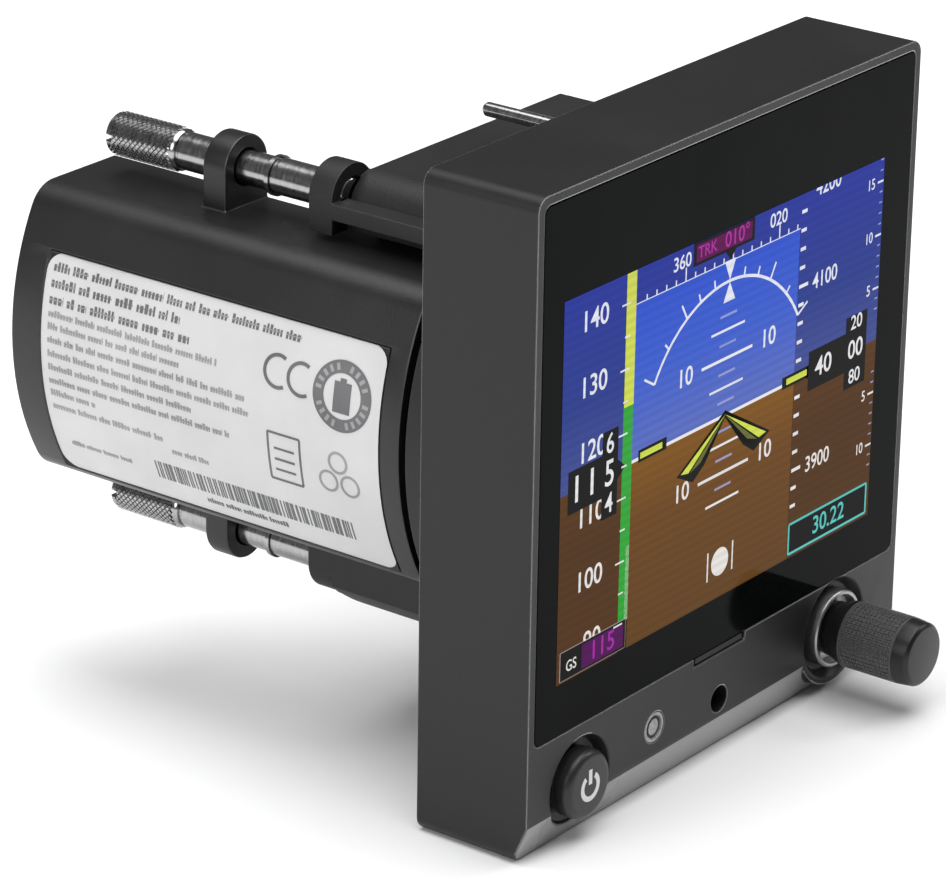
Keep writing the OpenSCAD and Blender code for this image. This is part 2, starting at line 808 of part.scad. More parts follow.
module gps_antenna() {
    color([0.8, 0.75, 0.65])
        block(opening[0] + 3, opening[0] + 3 + patch, flange_len + 2 * patch_rim,
            flange_len + 2 * patch_rim + patch,
            flat_top - housing_wall - 0.3 - patch_t, flat_top - housing_wall - 0.3);
}

module antenna_board() {
    top = flat_top - housing_wall - 0.3 - patch_t;
    color(board_green)
        block(opening[0] + 3 - patch_rim, opening[0] + 3 + patch + patch_rim,
            flange_len + patch_rim, flange_len + 3 * patch_rim + patch, top - 0.8, top);
}

// ---------- sensors ----------

module sensor_board() {
    color(board_green) block(sensor_area[0], sensor_area[1], sensor_y, sensor_back,
        sensor_area[2], sensor_area[3]);
}

module sensor_chips() {
    color([0.08, 0.08, 0.08]) for (c = small_chips)
        block(c[0], c[1], sensor_back, sensor_back + c[2], c[3], c[4]);
}

module pressure_sensor(x) {
    color(steel) difference() {
        union() {
            block(x - sensor_box[0] / 2, x + sensor_box[0] / 2, sensor_back,
                sensor_back + sensor_box[1], port_up - sensor_box[2] / 2,
                port_up + sensor_box[2] / 2);
            rod(x, port_up, sensor_back + sensor_box[1], sensor_back + sensor_box[1] + barb_len,
                barb_r);
        }
        rod(x, port_up, sensor_back + 1, housing_len, 0.8);
    }
}

module pitot_sensor() { pressure_sensor(port_x[0]); }

module static_sensor() { pressure_sensor(port_x[1]); }

module board_connector() {
    color(black_plastic) block(link[0], link[1], board_back, sensor_y, link[2], link[3]);
}

module air_tubes() {
    color([0.8, 0.85, 0.85]) for (x = port_x) difference() {
        rod(x, port_up, sensor_back + sensor_box[1] + 0.5, port_in - 0.5, barb_r + 0.7);
        rod(x, port_up, sensor_back, port_in, barb_r);
    }
}

module air_port(x) {
    color(steel) difference() {
        union() {
            rod(x, port_up, port_in - barb_len, port_in, barb_r);
            rod(x, port_up, port_in, housing_len, 3.2);
            translate([x, housing_len + port_lip, port_up]) rotate([90, 0, 0])
                cylinder(h = port_lip, r = 4.6, $fn = 6);
        }
        rod(x, port_up, port_in - barb_len - over, housing_len, 0.8);
        rod(x, port_up, housing_len - 4.5, housing_len + port_lip + over, port_r);
    }
}

module pitot_port() { air_port(port_x[0]); }

module static_port() { air_port(port_x[1]); }

// ---------- sockets ----------

module data_outline(grow = 0) {
    half_w = 8.6 + grow;
    half_h = 4.2 + grow;
    slant = 1.5;
    translate([data_x, -data_down]) polygon([[-half_w, half_h], [half_w, half_h],
        [half_w - slant, -half_h], [-half_w + slant, -half_h]]);
}

module data_connector_shell() {
    color(steel) difference() {
        union() {
            block(data_x - data_flange[0] / 2, data_x + data_flange[0] / 2, housing_len,
                housing_len + data_flange[1], -data_down - data_flange[2] / 2,
                -data_down + data_flange[2] / 2);
            slab(housing_len + data_flange[1], housing_len + data_reach) data_outline(0.1);
        }
        slab(housing_len - over, housing_len + data_reach + over) data_outline(-0.3);
        for (x = [-1, 1])
            rod(data_x + x * post_pitch / 2, -data_down, housing_len - over,
                housing_len + 2, 1.5);
    }
}

module data_connector_insert() {
    color(black_plastic) difference() {
        slab(housing_len - 7, housing_len + data_reach - 0.2) data_outline(-0.35);
        for (i = [0:4])
            rod(data_x + (i - 2) * 2.77, -data_down + 1.42, housing_len,
                housing_len + data_reach + over, 0.5);
        for (i = [0:3])
            rod(data_x + (i - 1.5) * 2.77, -data_down - 1.42, housing_len,
                housing_len + data_reach + over, 0.5);
    }
}

module data_connector_posts() {
    color(steel) for (x = [-1, 1]) difference() {
        translate([data_x + x * post_pitch / 2, housing_len + data_reach - 0.6, -data_down])
            rotate([90, 0, 0])
                cylinder(h = data_reach - 0.6 - data_flange[1], r = 2.7, $fn = 6);
        rod(data_x + x * post_pitch / 2, -data_down, housing_len + 1.5,
            housing_len + data_reach, 1.4);
    }
}

module antenna_jack() {
    color(steel) difference() {
        union() {
            rod(antenna_x, antenna_z, housing_len - 5, housing_len, 4);
            rod(antenna_x, antenna_z, housing_len, housing_len + 1.6, 6.2);
            rod(antenna_x, antenna_z, housing_len + 1.6, housing_len + antenna_reach, 4.85);
            translate([antenna_x, housing_len + 7, antenna_z - 5.8])
                cylinder(h = 11.6, r = 1);
        }
        rod(antenna_x, antenna_z, housing_len - 5 - over, housing_len + 2, 2.45);
        rod(antenna_x, antenna_z, housing_len + 2, housing_len + antenna_reach + over, 4.1);
    }
}

module antenna_jack_core() {
    color("white") difference() {
        rod(antenna_x, antenna_z, housing_len - 6, housing_len + antenna_reach - 2, 2.4);
        rod(antenna_x, antenna_z, housing_len, housing_len + antenna_reach, 0.7);
    }
}

// ---------- battery ----------

// Section of the battery, drawn smaller all round by the inset, out to the inner side
module battery_outline(inset, x_in) {
    r = battery_r - inset;
    half_h = battery_half_h - inset;
    edge = battery_edge_r - inset;
    edge_z = half_h - edge;
    edge_x = -sqrt(pow(r - edge, 2) - pow(edge_z, 2));
    arc_z = edge_z * r / (r - edge);
    intersection() {
        circle(r, $fn = 128);
        translate([-2 * r, -arc_z]) square([2 * r + x_in, 2 * arc_z]);
    }
    translate([edge_x, -half_h]) square([x_in - edge_x, 2 * half_h]);
    for (z = [-edge_z, edge_z]) translate([edge_x, z]) circle(edge);
}

// Curved sheet on the battery's outer face
module label_sheet(t0, t1, grow) {
    y0 = battery_y0 + label_in - grow;
    length = battery_y1 - battery_y0 - label_in - label_out + 2 * grow;
    turn = label_arc[1] - label_arc[0];
    translate([0, y0 + length, 0]) rotate([90, 0, 0]) rotate([0, 0, 180 - label_arc[1]])
        rotate_extrude(angle = turn, $fn = 128)
            translate([battery_r - t1, 0]) square([t1 - t0, length]);
}

// Contact pad in the battery's front wall, or its recess when it is grown
module pad(x, front, grow) {
    block(cell_x + x - pad_half[0] - grow, cell_x + x + pad_half[0] + grow,
        battery_y0 - front, battery_y0 + pad_t, -pad_half[1] - grow, pad_half[1] + grow);
}

module battery_case() {
    color(black_plastic) difference() {
        union() {
            slab(battery_y0, battery_y1) battery_outline(0, inner_x);
            both_ways() lug(battery_lug_y0, battery_lug_y1, battery_half_h - 0.5);
        }
        slab(battery_y0 + end_wall, battery_y1 - end_wall)
            battery_outline(battery_wall, inner_x + over);
        label_sheet(-over, label_t + 0.02, 0.1);
        for (x = contact_x) pad(x, over, 0.1);
    }
}

module battery_cover() {
    half_h = battery_half_h - battery_wall - 0.1;
    color(black_plastic) block(inner_x - battery_wall, inner_x, battery_y0 + end_wall + 0.1,
        battery_y1 - end_wall - 0.1, -half_h, half_h);
}

module battery_label() {
    color([0.85, 0.85, 0.85]) label_sheet(0.02, label_t + 0.02, 0);
}

module battery_pads() {
    color(gold) for (x = contact_x) pad(x, 0, 0);
}

module battery_cell() {
    cap = 1.2;
    y0 = battery_y0 + end_wall + cell_play;
    color([0.2, 0.45, 0.7]) {
        rod(cell_x, 0, y0 + cap, y0 + cell_len, cell_d / 2);
        rod(cell_x, 0, y0, y0 + cap, 3);
    }
}

module protection_board() {
    color(board_green) block(cell_x - 6, inner_x - battery_wall - 0.6, battery_y0 + 6,
        battery_y0 + 42, cell_d / 2 + 3, cell_d / 2 + 4);
}

// ---------- thumbscrews ----------

module thumbscrew(side) {
    color(steel) difference() {
        turned(screw_x, side * screw_up) polygon([
            [0, nose_y], [nose_r - 0.6, nose_y], [nose_r, nose_y + 0.6],
            [nose_r, groove_y], [groove_r, groove_y], [groove_r, groove_y + groove_w],
            [thumb_r, groove_y + groove_w], [thumb_r, neck_y], [neck_r, neck_y],
            [neck_r, head_y0 - 0.6],
            [head_d / 2, head_y0], [head_d / 2, head_y0 + head_len - 0.6],
            [head_d / 2 - 0.6, head_y0 + head_len], [0, head_y0 + head_len]]);
        block(screw_x - head_d, screw_x + head_d, head_y0 + head_len - slot_deep,
            head_y0 + head_len + over, side * screw_up - 0.5, side * screw_up + 0.5);
    }
}

module upper_thumbscrew() { thumbscrew(1); }

module lower_thumbscrew() { thumbscrew(-1); }

module screw_ring(side) {
    y0 = groove_y + 0.1;
    y1 = groove_y + groove_w - 0.1;
    color(steel) difference() {
        rod(screw_x, side * screw_up, y0, y1, ring_r);
        rod(screw_x, side * screw_up, y0 - over, y1 + over, groove_r + fit);
    }
}

module upper_screw_ring() { screw_ring(1); }

module lower_screw_ring() { screw_ring(-1); }

bezel();
cover_glass();
glass_bond();
lcd_panel();
backlight();
display_bracket();
display_flex();
main_board();
main_board_chips();
board_shield();
board_screws();
control_board();
encoder_body();
encoder_rotor();
knob_shaft();
knob();
knob_collar();
power_button();
switch_body();
switch_plunger();
light_sensor_lens();
light_sensor();
card_socket();
memory_card();
mounting_screw();
mounting_screw_washer();
chassis();
chassis_screws();
locating_pin();
rear_housing();
housing_screws();
gps_antenna();
antenna_board();
sensor_board();
sensor_chips();
pitot_sensor();
static_sensor();
board_connector();
air_tubes();
pitot_port();
static_port();
data_connector_shell();
data_connector_insert();
data_connector_posts();
antenna_jack();
antenna_jack_core();
rating_plate();
contact_block();
contact_pins();
battery_case();
battery_cover();
battery_label();
battery_pads();
battery_cell();
protection_board();
upper_thumbscrew();
lower_thumbscrew();
upper_screw_ring();
lower_screw_ring();
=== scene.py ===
import math
import random
import bmesh
import bpy
from mathutils import Matrix, Vector
from mathutils.bvhtree import BVHTree


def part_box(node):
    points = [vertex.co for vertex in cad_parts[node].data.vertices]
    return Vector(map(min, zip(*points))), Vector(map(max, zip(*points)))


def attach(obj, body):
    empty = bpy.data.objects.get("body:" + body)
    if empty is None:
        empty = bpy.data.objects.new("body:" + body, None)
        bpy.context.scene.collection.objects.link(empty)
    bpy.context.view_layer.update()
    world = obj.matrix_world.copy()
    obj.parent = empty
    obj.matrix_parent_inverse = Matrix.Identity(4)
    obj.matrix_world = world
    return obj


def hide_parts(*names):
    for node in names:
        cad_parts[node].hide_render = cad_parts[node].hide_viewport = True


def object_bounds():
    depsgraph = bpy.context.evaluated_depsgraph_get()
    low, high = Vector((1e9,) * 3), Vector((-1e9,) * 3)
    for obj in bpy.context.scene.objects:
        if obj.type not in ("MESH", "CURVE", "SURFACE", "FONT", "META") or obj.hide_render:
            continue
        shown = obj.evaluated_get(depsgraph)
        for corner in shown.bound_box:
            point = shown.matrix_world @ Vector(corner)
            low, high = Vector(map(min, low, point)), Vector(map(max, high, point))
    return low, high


# A square flight display with its battery pack, standing on its bezel's lower edge.
# Metres throughout; the dictionaries of the pieces give millimetres and are scaled by mm.
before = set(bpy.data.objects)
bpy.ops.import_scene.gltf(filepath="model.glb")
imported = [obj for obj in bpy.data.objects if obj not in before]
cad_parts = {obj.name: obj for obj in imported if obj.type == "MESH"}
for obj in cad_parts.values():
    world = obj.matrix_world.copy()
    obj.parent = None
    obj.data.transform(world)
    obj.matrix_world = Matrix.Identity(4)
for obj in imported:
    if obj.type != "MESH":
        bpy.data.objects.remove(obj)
cadLow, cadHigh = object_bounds()
scene = bpy.context.scene
mm = 0.001
alongY = Vector((0, 1, 0))


# camera, floor and light

cameraSetup = {
    "place": (-0.48272, -0.34002, 0.23105),
    "turn": -52.95, "tilt": 67.943, "roll": 0.886,    # degrees
    "lens": 179.83, "sensor": 36,
}
floorSetup = {"size": 6.0, "color": (0.93, 0.93, 0.935, 1)}
worldSetup = {"color": (1, 1, 1, 1), "strength": 0.12}
# each light: place, what it looks at, size in metres, watts, colour
lightSetup = {
    "overhead": ((0.0, 0.05, 1.6), (0, 0.05, 0), 2.2, 44, (1, 1, 1)),
    "leftCard": ((-1.3, 0.25, 0.60), (0, 0.02, 0), 0.80, 7, (1, 1, 1)),
    "rightStrip": ((0.95, -0.55, 0.75), (0, 0, 0), 0.35, 2.5, (1, 1, 1)),
}


def makeCamera(setup):
    data = bpy.data.cameras.new("viewCamera")
    data.lens = setup["lens"]
    data.sensor_width = setup["sensor"]
    data.clip_end = 20
    camera = bpy.data.objects.new("viewCamera", data)
    scene.collection.objects.link(camera)
    turn = Matrix.Rotation(math.radians(setup["turn"]), 4, "Z")
    tilt = Matrix.Rotation(math.radians(setup["tilt"]), 4, "X")
    roll = Matrix.Rotation(math.radians(setup["roll"]), 4, "Z")
    camera.matrix_world = Matrix.Translation(setup["place"]) @ turn @ tilt @ roll
    scene.camera = camera


def makeLight(name, place, target, size, watts, color):
    data = bpy.data.lights.new(name, "AREA")
    data.shape = "DISK"
    data.size = size
    data.energy = watts
    data.color = color
    light = bpy.data.objects.new(name, data)
    scene.collection.objects.link(light)
    aim = (Vector(target) - Vector(place)).to_track_quat("-Z", "Y")
    light.matrix_world = Matrix.Translation(place) @ aim.to_matrix().to_4x4()


def makeStudio():
    material = bpy.data.materials.new("paleFloor")
    material.use_nodes = True
    shader = material.node_tree.nodes["Principled BSDF"]
    shader.inputs["Base Color"].default_value = floorSetup["color"]
    shader.inputs["Roughness"].default_value = 0.9
    shader.inputs["Specular IOR Level"].default_value = 0.1
    bm = bmesh.new()
    bmesh.ops.create_grid(bm, x_segments=1, y_segments=1, size=floorSetup["size"] / 2,
        matrix=Matrix.Translation((0, 0, cadLow.z)))
    mesh = bpy.data.meshes.new("floor")
    bm.to_mesh(mesh)
    bm.free()
    mesh.materials.append(material)
    floor = bpy.data.objects.new("floor", mesh)
    scene.collection.objects.link(floor)
    world = bpy.data.worlds.new("studio")
    world.use_nodes = True
    background = world.node_tree.nodes["Background"]
    background.inputs["Color"].default_value = worldSetup["color"]
    background.inputs["Strength"].default_value = worldSetup["strength"]
    scene.world = world
    scene.view_settings.view_transform = "Standard"
    for name, values in lightSetup.items():
        makeLight(name, *values)


makeCamera(cameraSetup)
makeStudio()
print("camera, floor and light ready")


# finishes

def startMaterial(name):
    material = bpy.data.materials.new(name)
    material.use_nodes = True
    nodes, links = material.node_tree.nodes, material.node_tree.links
    place = nodes.new("ShaderNodeTexCoord").outputs["Object"]
    return material, nodes, links, nodes["Principled BSDF"], place


def noise(nodes, links, place, scale, detail=3, stretch=(1, 1, 1)):
    mapping = nodes.new("ShaderNodeMapping")
    mapping.inputs["Scale"].default_value = stretch
    links.new(place, mapping.inputs["Vector"])
    texture = nodes.new("ShaderNodeTexNoise")
    texture.inputs["Scale"].default_value = scale
    texture.inputs["Detail"].default_value = detail
    links.new(mapping.outputs["Vector"], texture.inputs["Vector"])
    return texture.outputs["Fac"]


def ramp(nodes, links, value, stops):
    node = nodes.new("ShaderNodeValToRGB")
    elements = node.color_ramp.elements
    while len(elements) < len(stops):
        elements.new(0.5)
    for element, (at, color) in zip(elements, stops):
        element.position = at
        element.color = (*color, 1)
    links.new(value, node.inputs["Fac"])
    return node.outputs["Color"]


def spread(nodes, links, value, low, high, fromLow=0.3, fromHigh=0.7):
    node = nodes.new("ShaderNodeMapRange")
    node.inputs["From Min"].default_value = fromLow
    node.inputs["From Max"].default_value = fromHigh
    node.inputs["To Min"].default_value = low
    node.inputs["To Max"].default_value = high
    links.new(value, node.inputs["Value"])
    return node.outputs["Result"]


def bumps(nodes, links, shader, heights):
    # each height: value socket, depth in metres
    normal = None
    for value, depth in heights:
        node = nodes.new("ShaderNodeBump")
        node.inputs["Strength"].default_value = 1
        node.inputs["Distance"].default_value = depth
        links.new(value, node.inputs["Height"])
        if normal:
            links.new(normal, node.inputs["Normal"])
        normal = node.outputs["Normal"]
    links.new(normal, shader.inputs["Normal"])


def edgeMask(nodes, links, radius):
    # bright where the surface turns: rubbed edge wear together with a painted edge highlight
    bevel = nodes.new("ShaderNodeBevel")
    bevel.samples = 4
    bevel.inputs["Radius"].default_value = radius
    geometry = nodes.new("ShaderNodeNewGeometry")
    dot = nodes.new("ShaderNodeVectorMath")
    dot.operation = "DOT_PRODUCT"
    links.new(bevel.outputs["Normal"], dot.inputs[0])
    links.new(geometry.outputs["Normal"], dot.inputs[1])
    return spread(nodes, links, dot.outputs["Value"], 1, 0, 0.90, 0.995)


def mixColors(nodes, links, factor, first, second):
    node = nodes.new("ShaderNodeMix")
    node.data_type = "RGBA"
    links.new(factor, node.inputs["Factor"])
    for value, socket in ((first, node.inputs[6]), (second, node.inputs[7])):
        if isinstance(value, tuple):
            socket.default_value = (*value, 1)
        else:
            links.new(value, socket)
    return node.outputs[2]


# moulded or coated surfaces: two tones, grain per metre, grain depth, roughness range, edge tone for rubbed wear and a
# painted edge highlight
mouldedFinishes = {
    "bezelPlastic": dict(tones=((0.008, 0.008, 0.0085), (0.012, 0.012, 0.0125)), grain=5200, depth=0.00003,
        rough=(0.36, 0.46), edgeWearAndHighlight=(0.36, 0.36, 0.36), specular=0.36),
    # the sloped edge: glossier, with light grey tones that are a painted reflection of the floor
    "bezelGlossPaintedReflection": dict(tones=((0.25, 0.25, 0.252), (0.31, 0.31, 0.312)), grain=5200, depth=0.00001,
        rough=(0.26, 0.34), edgeWearAndHighlight=(0.30, 0.30, 0.30), specular=1.0),
    "knobPlastic": dict(tones=((0.005, 0.005, 0.0055), (0.009, 0.009, 0.0095)), grain=6500, depth=0.00002,
        rough=(0.30, 0.40), edgeWearAndHighlight=(0.22, 0.22, 0.22), specular=0.42),
    "buttonPlastic": dict(tones=((0.018, 0.018, 0.019), (0.026, 0.026, 0.027)), grain=6000, depth=0.00001,
        rough=(0.36, 0.46), edgeWearAndHighlight=(0.11, 0.11, 0.11), specular=0.45),
    "housingCoat": dict(tones=((0.007, 0.007, 0.008), (0.013, 0.013, 0.013)), grain=3000, depth=0.00003,
        rough=(0.42, 0.58), edgeWearAndHighlight=(0.04, 0.04, 0.04), specular=0.4),
    "batteryPlastic": dict(tones=((0.008, 0.008, 0.009), (0.013, 0.013, 0.013)), grain=3600, depth=0.00002,
        rough=(0.32, 0.42), edgeWearAndHighlight=(0.05, 0.05, 0.05), specular=0.5),
    "chipPlastic": dict(tones=((0.014, 0.014, 0.015), (0.026, 0.026, 0.027)), grain=5000, depth=0.00002,
        rough=(0.5, 0.7), edgeWearAndHighlight=(0.04, 0.04, 0.04), specular=0.4),
    "whitePlastic": dict(tones=((0.68, 0.68, 0.66), (0.78, 0.78, 0.76)), grain=4000, depth=0.00001,
        rough=(0.3, 0.42), edgeWearAndHighlight=(0.82, 0.82, 0.81), specular=0.5),
    "sealRubber": dict(tones=((0.012, 0.012, 0.012), (0.02, 0.02, 0.02)), grain=3500, depth=0.00003,
        rough=(0.7, 0.85), edgeWearAndHighlight=(0.03, 0.03, 0.03), specular=0.3),
    "tubeRubber": dict(tones=((0.42, 0.44, 0.44), (0.5, 0.52, 0.52)), grain=2500, depth=0.00002,
        rough=(0.45, 0.6), edgeWearAndHighlight=(0.56, 0.57, 0.57), specular=0.4),
    "firedCeramic": dict(tones=((0.5, 0.45, 0.36), (0.6, 0.55, 0.45)), grain=4200, depth=0.00003,
        rough=(0.6, 0.8), edgeWearAndHighlight=(0.66, 0.62, 0.54), specular=0.35),
    "circuitBoard": dict(tones=((0.012, 0.085, 0.035), (0.022, 0.13, 0.055)), grain=1500, depth=0.00002,
        rough=(0.28, 0.42), edgeWearAndHighlight=(0.24, 0.24, 0.12), specular=0.5),
    "flexFilm": dict(tones=((0.36, 0.15, 0.03), (0.48, 0.22, 0.05)), grain=1800, depth=0.00001,
        rough=(0.2, 0.34), edgeWearAndHighlight=(0.55, 0.3, 0.08), specular=0.5),
    "cellSleeve": dict(tones=((0.05, 0.19, 0.42), (0.08, 0.25, 0.5)), grain=1200, depth=0.00003,
        rough=(0.16, 0.3), edgeWearAndHighlight=(0.2, 0.4, 0.65), specular=0.5),
}


def mouldedFinish(name, tones, grain, depth, rough, edgeWearAndHighlight, specular):
    material, nodes, links, shader, place = startMaterial(name)
    cloud = noise(nodes, links, place, 45, 4)
    fine = noise(nodes, links, place, grain, 2)
    body = ramp(nodes, links, cloud, ((0.35, tones[0]), (0.65, tones[1])))
    speck = ramp(nodes, links, fine, ((0.5, tones[0]), (0.72, tones[1])))
    half = nodes.new("ShaderNodeMix")
    half.data_type = "RGBA"
    links.new(body, half.inputs[6])
    links.new(speck, half.inputs[7])
    # the edge tone is partly rubbed wear and partly a painted highlight along the edges
    wornAndHighlighted = mixColors(nodes, links, edgeMask(nodes, links, 0.00025), half.outputs[2], edgeWearAndHighlight)
    links.new(wornAndHighlighted, shader.inputs["Base Color"])
    links.new(spread(nodes, links, cloud, *rough), shader.inputs["Roughness"])
    shader.inputs["Specular IOR Level"].default_value = specular
    bumps(nodes, links, shader, [(fine, depth)])
    return material


# metals: tone range, lines per metre and the way they run, roughness range
metalFinishes = {
    "turnedSteel": dict(tones=((0.34, 0.34, 0.34), (0.48, 0.48, 0.475)), lines=2600, stretch=(0.25, 1, 0.25),
        rough=(0.14, 0.24), depth=0.0000012),
    "sheetSteel": dict(tones=((0.52, 0.52, 0.53), (0.64, 0.64, 0.65)), lines=1500, stretch=(0.06, 1, 1),
        rough=(0.26, 0.42), depth=0.000006),
    "fittingMetal": dict(tones=((0.5, 0.5, 0.5), (0.68, 0.68, 0.67)), lines=2200, stretch=(0.3, 1, 0.3),
        rough=(0.22, 0.36), depth=0.000005),
    "plateMetal": dict(tones=((0.5, 0.5, 0.5), (0.62, 0.62, 0.62)), lines=3200, stretch=(0.03, 1, 1),
        rough=(0.3, 0.44), depth=0.000005),
    "contactGold": dict(tones=((0.68, 0.46, 0.16), (0.82, 0.6, 0.26)), lines=2400, stretch=(1, 0.2, 1),
        rough=(0.18, 0.3), depth=0.000003),
    "darkSteel": dict(tones=((0.04, 0.04, 0.042), (0.09, 0.09, 0.092)), lines=2000, stretch=(1, 0.3, 1),
        rough=(0.3, 0.44), depth=0.000005),
    "collarMetal": dict(tones=((0.34, 0.34, 0.34), (0.46, 0.46, 0.46)), lines=2600, stretch=(0.2, 1, 0.2),
        rough=(0.34, 0.42), depth=0.000002),
}


def metalFinish(name, tones, lines, stretch, rough, depth):
    material, nodes, links, shader, place = startMaterial(name)
    scratches = noise(nodes, links, place, lines, 4, stretch)
    cloud = noise(nodes, links, place, 120, 3)
    body = ramp(nodes, links, scratches, ((0.3, tones[0]), (0.7, tones[1])))
    grime = mixColors(nodes, links, spread(nodes, links, cloud, 0, 0.35), body, tones[0])
    links.new(grime, shader.inputs["Base Color"])
    links.new(spread(nodes, links, scratches, *rough), shader.inputs["Roughness"])
    shader.inputs["Metallic"].default_value = 1
    bumps(nodes, links, shader, [(scratches, depth)])
    return material


glassSetup = {"tone": (0.0015, 0.002, 0.002), "smear": (0.0035, 0.004, 0.004), "rough": (0.05, 0.11),
    "specular": 0.03}    # the glass has a coat that kills most of its reflection


def glassFinish(name, setup):
    material, nodes, links, shader, place = startMaterial(name)
    smear = noise(nodes, links, place, 60, 5, (1, 1, 0.4))
    body = ramp(nodes, links, smear, ((0.4, setup["tone"]), (0.7, setup["smear"])))
    links.new(body, shader.inputs["Base Color"])
    links.new(spread(nodes, links, smear, *setup["rough"]), shader.inputs["Roughness"])
    shader.inputs["Specular IOR Level"].default_value = setup["specular"]
    return material


# lit parts of the picture: stops from the bottom to the top of the range, in metres of height
glowFinishes = {
    "skyGlow": ((0.0008, (0.105, 0.155, 0.52)), (0.012, (0.045, 0.115, 0.62)), (0.0271, (0.020, 0.075, 0.62))),
    "groundGlow": ((-0.0254, (0.120, 0.050, 0.008)), (-0.008, (0.150, 0.058, 0.007)), (0.0008, (0.225, 0.090, 0.006))),
    "skyTapeGlow": ((0.0008, (0.055, 0.080, 0.29)), (0.012, (0.022, 0.045, 0.27)), (0.0271, (0.018, 0.035, 0.33))),
    "groundTapeGlow": ((-0.0254, (0.085, 0.032, 0.005)), (-0.008, (0.078, 0.030, 0.005)), (0.0008, (0.10, 0.038, 0.006))),
    "whiteGlow": ((-0.03, (0.78, 0.74, 0.68)), (0.0, (0.82, 0.82, 0.84)), (0.03, (0.76, 0.80, 0.92))),
    "softGlow": ((-0.03, (0.40, 0.27, 0.16)), (0.0, (0.30, 0.33, 0.62)), (0.03, (0.24, 0.30, 0.75))),
    "yellowGlow": ((-0.03, (0.62, 0.72, 0.05)), (0.0, (0.64, 0.74, 0.08)), (0.03, (0.62, 0.66, 0.10))),
    "oliveGlow": ((-0.03, (0.10, 0.11, 0.02)), (0.0, (0.14, 0.15, 0.03)), (0.03, (0.12, 0.13, 0.03))),
    "greenGlow": ((-0.03, (0.02, 0.36, 0.03)), (0.0, (0.03, 0.38, 0.04)), (0.03, (0.04, 0.36, 0.06))),
    "magentaGlow": ((-0.03, (0.36, 0.02, 0.36)), (0.0, (0.40, 0.02, 0.38)), (0.03, (0.42, 0.03, 0.34))),
    "purpleGlow": ((-0.03, (0.075, 0.0, 0.09)), (0.0, (0.09, 0.0, 0.09)), (0.03, (0.11, 0.0, 0.075))),
    "cyanGlow": ((-0.03, (0.10, 0.56, 0.52)), (0.0, (0.10, 0.58, 0.55)), (0.03, (0.10, 0.58, 0.55))),
    "blackGlow": ((-0.03, (0.002, 0.002, 0.002)), (0.0, (0.003, 0.003, 0.003)), (0.03, (0.003, 0.003, 0.004))),
}
pictureDots = {"perMetre": 5200, "dim": 0.88}


def glowFinish(name, stops):
    material, nodes, links, shader, place = startMaterial(name)
    parts = nodes.new("ShaderNodeSeparateXYZ")
    links.new(place, parts.inputs["Vector"])
    low, high = stops[0][0], stops[-1][0]
    height = spread(nodes, links, parts.outputs["Z"], 0, 1, low, high)
    body = ramp(nodes, links, height, [((at - low) / (high - low), color) for at, color in stops])
    # rows of picture dots dim the light a little between them
    rows = nodes.new("ShaderNodeTexWave")
    rows.bands_direction = "Z"
    rows.inputs["Scale"].default_value = pictureDots["perMetre"] / 20
    links.new(place, rows.inputs["Vector"])
    dim = spread(nodes, links, rows.outputs["Fac"], pictureDots["dim"], 1, 0, 1)
    lit = nodes.new("ShaderNodeVectorMath")
    lit.operation = "SCALE"
    links.new(body, lit.inputs[0])
    links.new(dim, lit.inputs["Scale"])
    links.new(lit.outputs["Vector"], shader.inputs["Emission Color"])
    shader.inputs["Emission Strength"].default_value = 1
    shader.inputs["Base Color"].default_value = (0.006, 0.006, 0.006, 1)
    smear = noise(nodes, links, place, 60, 5, (1, 1, 0.4))
    links.new(spread(nodes, links, smear, *glassSetup["rough"]), shader.inputs["Roughness"])
    shader.inputs["Specular IOR Level"].default_value = glassSetup["specular"]
    return material


printFinishes = {
    "labelFilm": dict(tones=((0.60, 0.60, 0.60), (0.66, 0.66, 0.66)), grain=2500, depth=0.000008, rough=(0.34, 0.46)),
    "labelInk": dict(tones=((0.10, 0.10, 0.105), (0.16, 0.16, 0.165)), grain=9000, depth=0.000002, rough=(0.4, 0.5)),
    "paleInk": dict(tones=((0.26, 0.26, 0.265), (0.36, 0.36, 0.365)), grain=9000, depth=0.000002, rough=(0.4, 0.5)),
    "whiteInk": dict(tones=((0.74, 0.74, 0.74), (0.86, 0.86, 0.86)), grain=7000, depth=0.000003, rough=(0.4, 0.5)),
}


def printFinish(name, tones, grain, depth, rough):
    material, nodes, links, shader, place = startMaterial(name)
    fine = noise(nodes, links, place, grain, 3)
    cloud = noise(nodes, links, place, 90, 4)
    links.new(ramp(nodes, links, cloud, ((0.3, tones[0]), (0.7, tones[1]))), shader.inputs["Base Color"])
    links.new(spread(nodes, links, fine, *rough), shader.inputs["Roughness"])
    bumps(nodes, links, shader, [(fine, depth)])
    return material


lensSetup = {"tones": ((0.24, 0.24, 0.25), (0.40, 0.40, 0.41)), "rough": (0.12, 0.22), "frost": 1400}


def lensFinish(name, setup):
    material, nodes, links, shader, place = startMaterial(name)
    frost = noise(nodes, links, place, setup["frost"], 3)
    tones = setup["tones"]
    links.new(ramp(nodes, links, frost, ((0.3, tones[0]), (0.7, tones[1]))), shader.inputs["Base Color"])
    links.new(spread(nodes, links, frost, *setup["rough"]), shader.inputs["Roughness"])
    shader.inputs["Coat Weight"].default_value = 0.6
    shader.inputs["Subsurface Weight"].default_value = 0.2
    shader.inputs["Subsurface Radius"].default_value = (0.001, 0.001, 0.001)
    return material


finishes = {name: mouldedFinish(name, **recipe) for name, recipe in mouldedFinishes.items()}
finishes.update({name: metalFinish(name, **recipe) for name, recipe in metalFinishes.items()})
finishes.update({name: glowFinish(name, stops) for name, stops in glowFinishes.items()})
finishes.update({name: printFinish(name, **recipe) for name, recipe in printFinishes.items()})
finishes["blackGlass"] = glassFinish("blackGlass", glassSetup)
finishes["lensPlastic"] = lensFinish("lensPlastic", lensSetup)
print("finishes ready:", len(finishes))


# modelling helpers

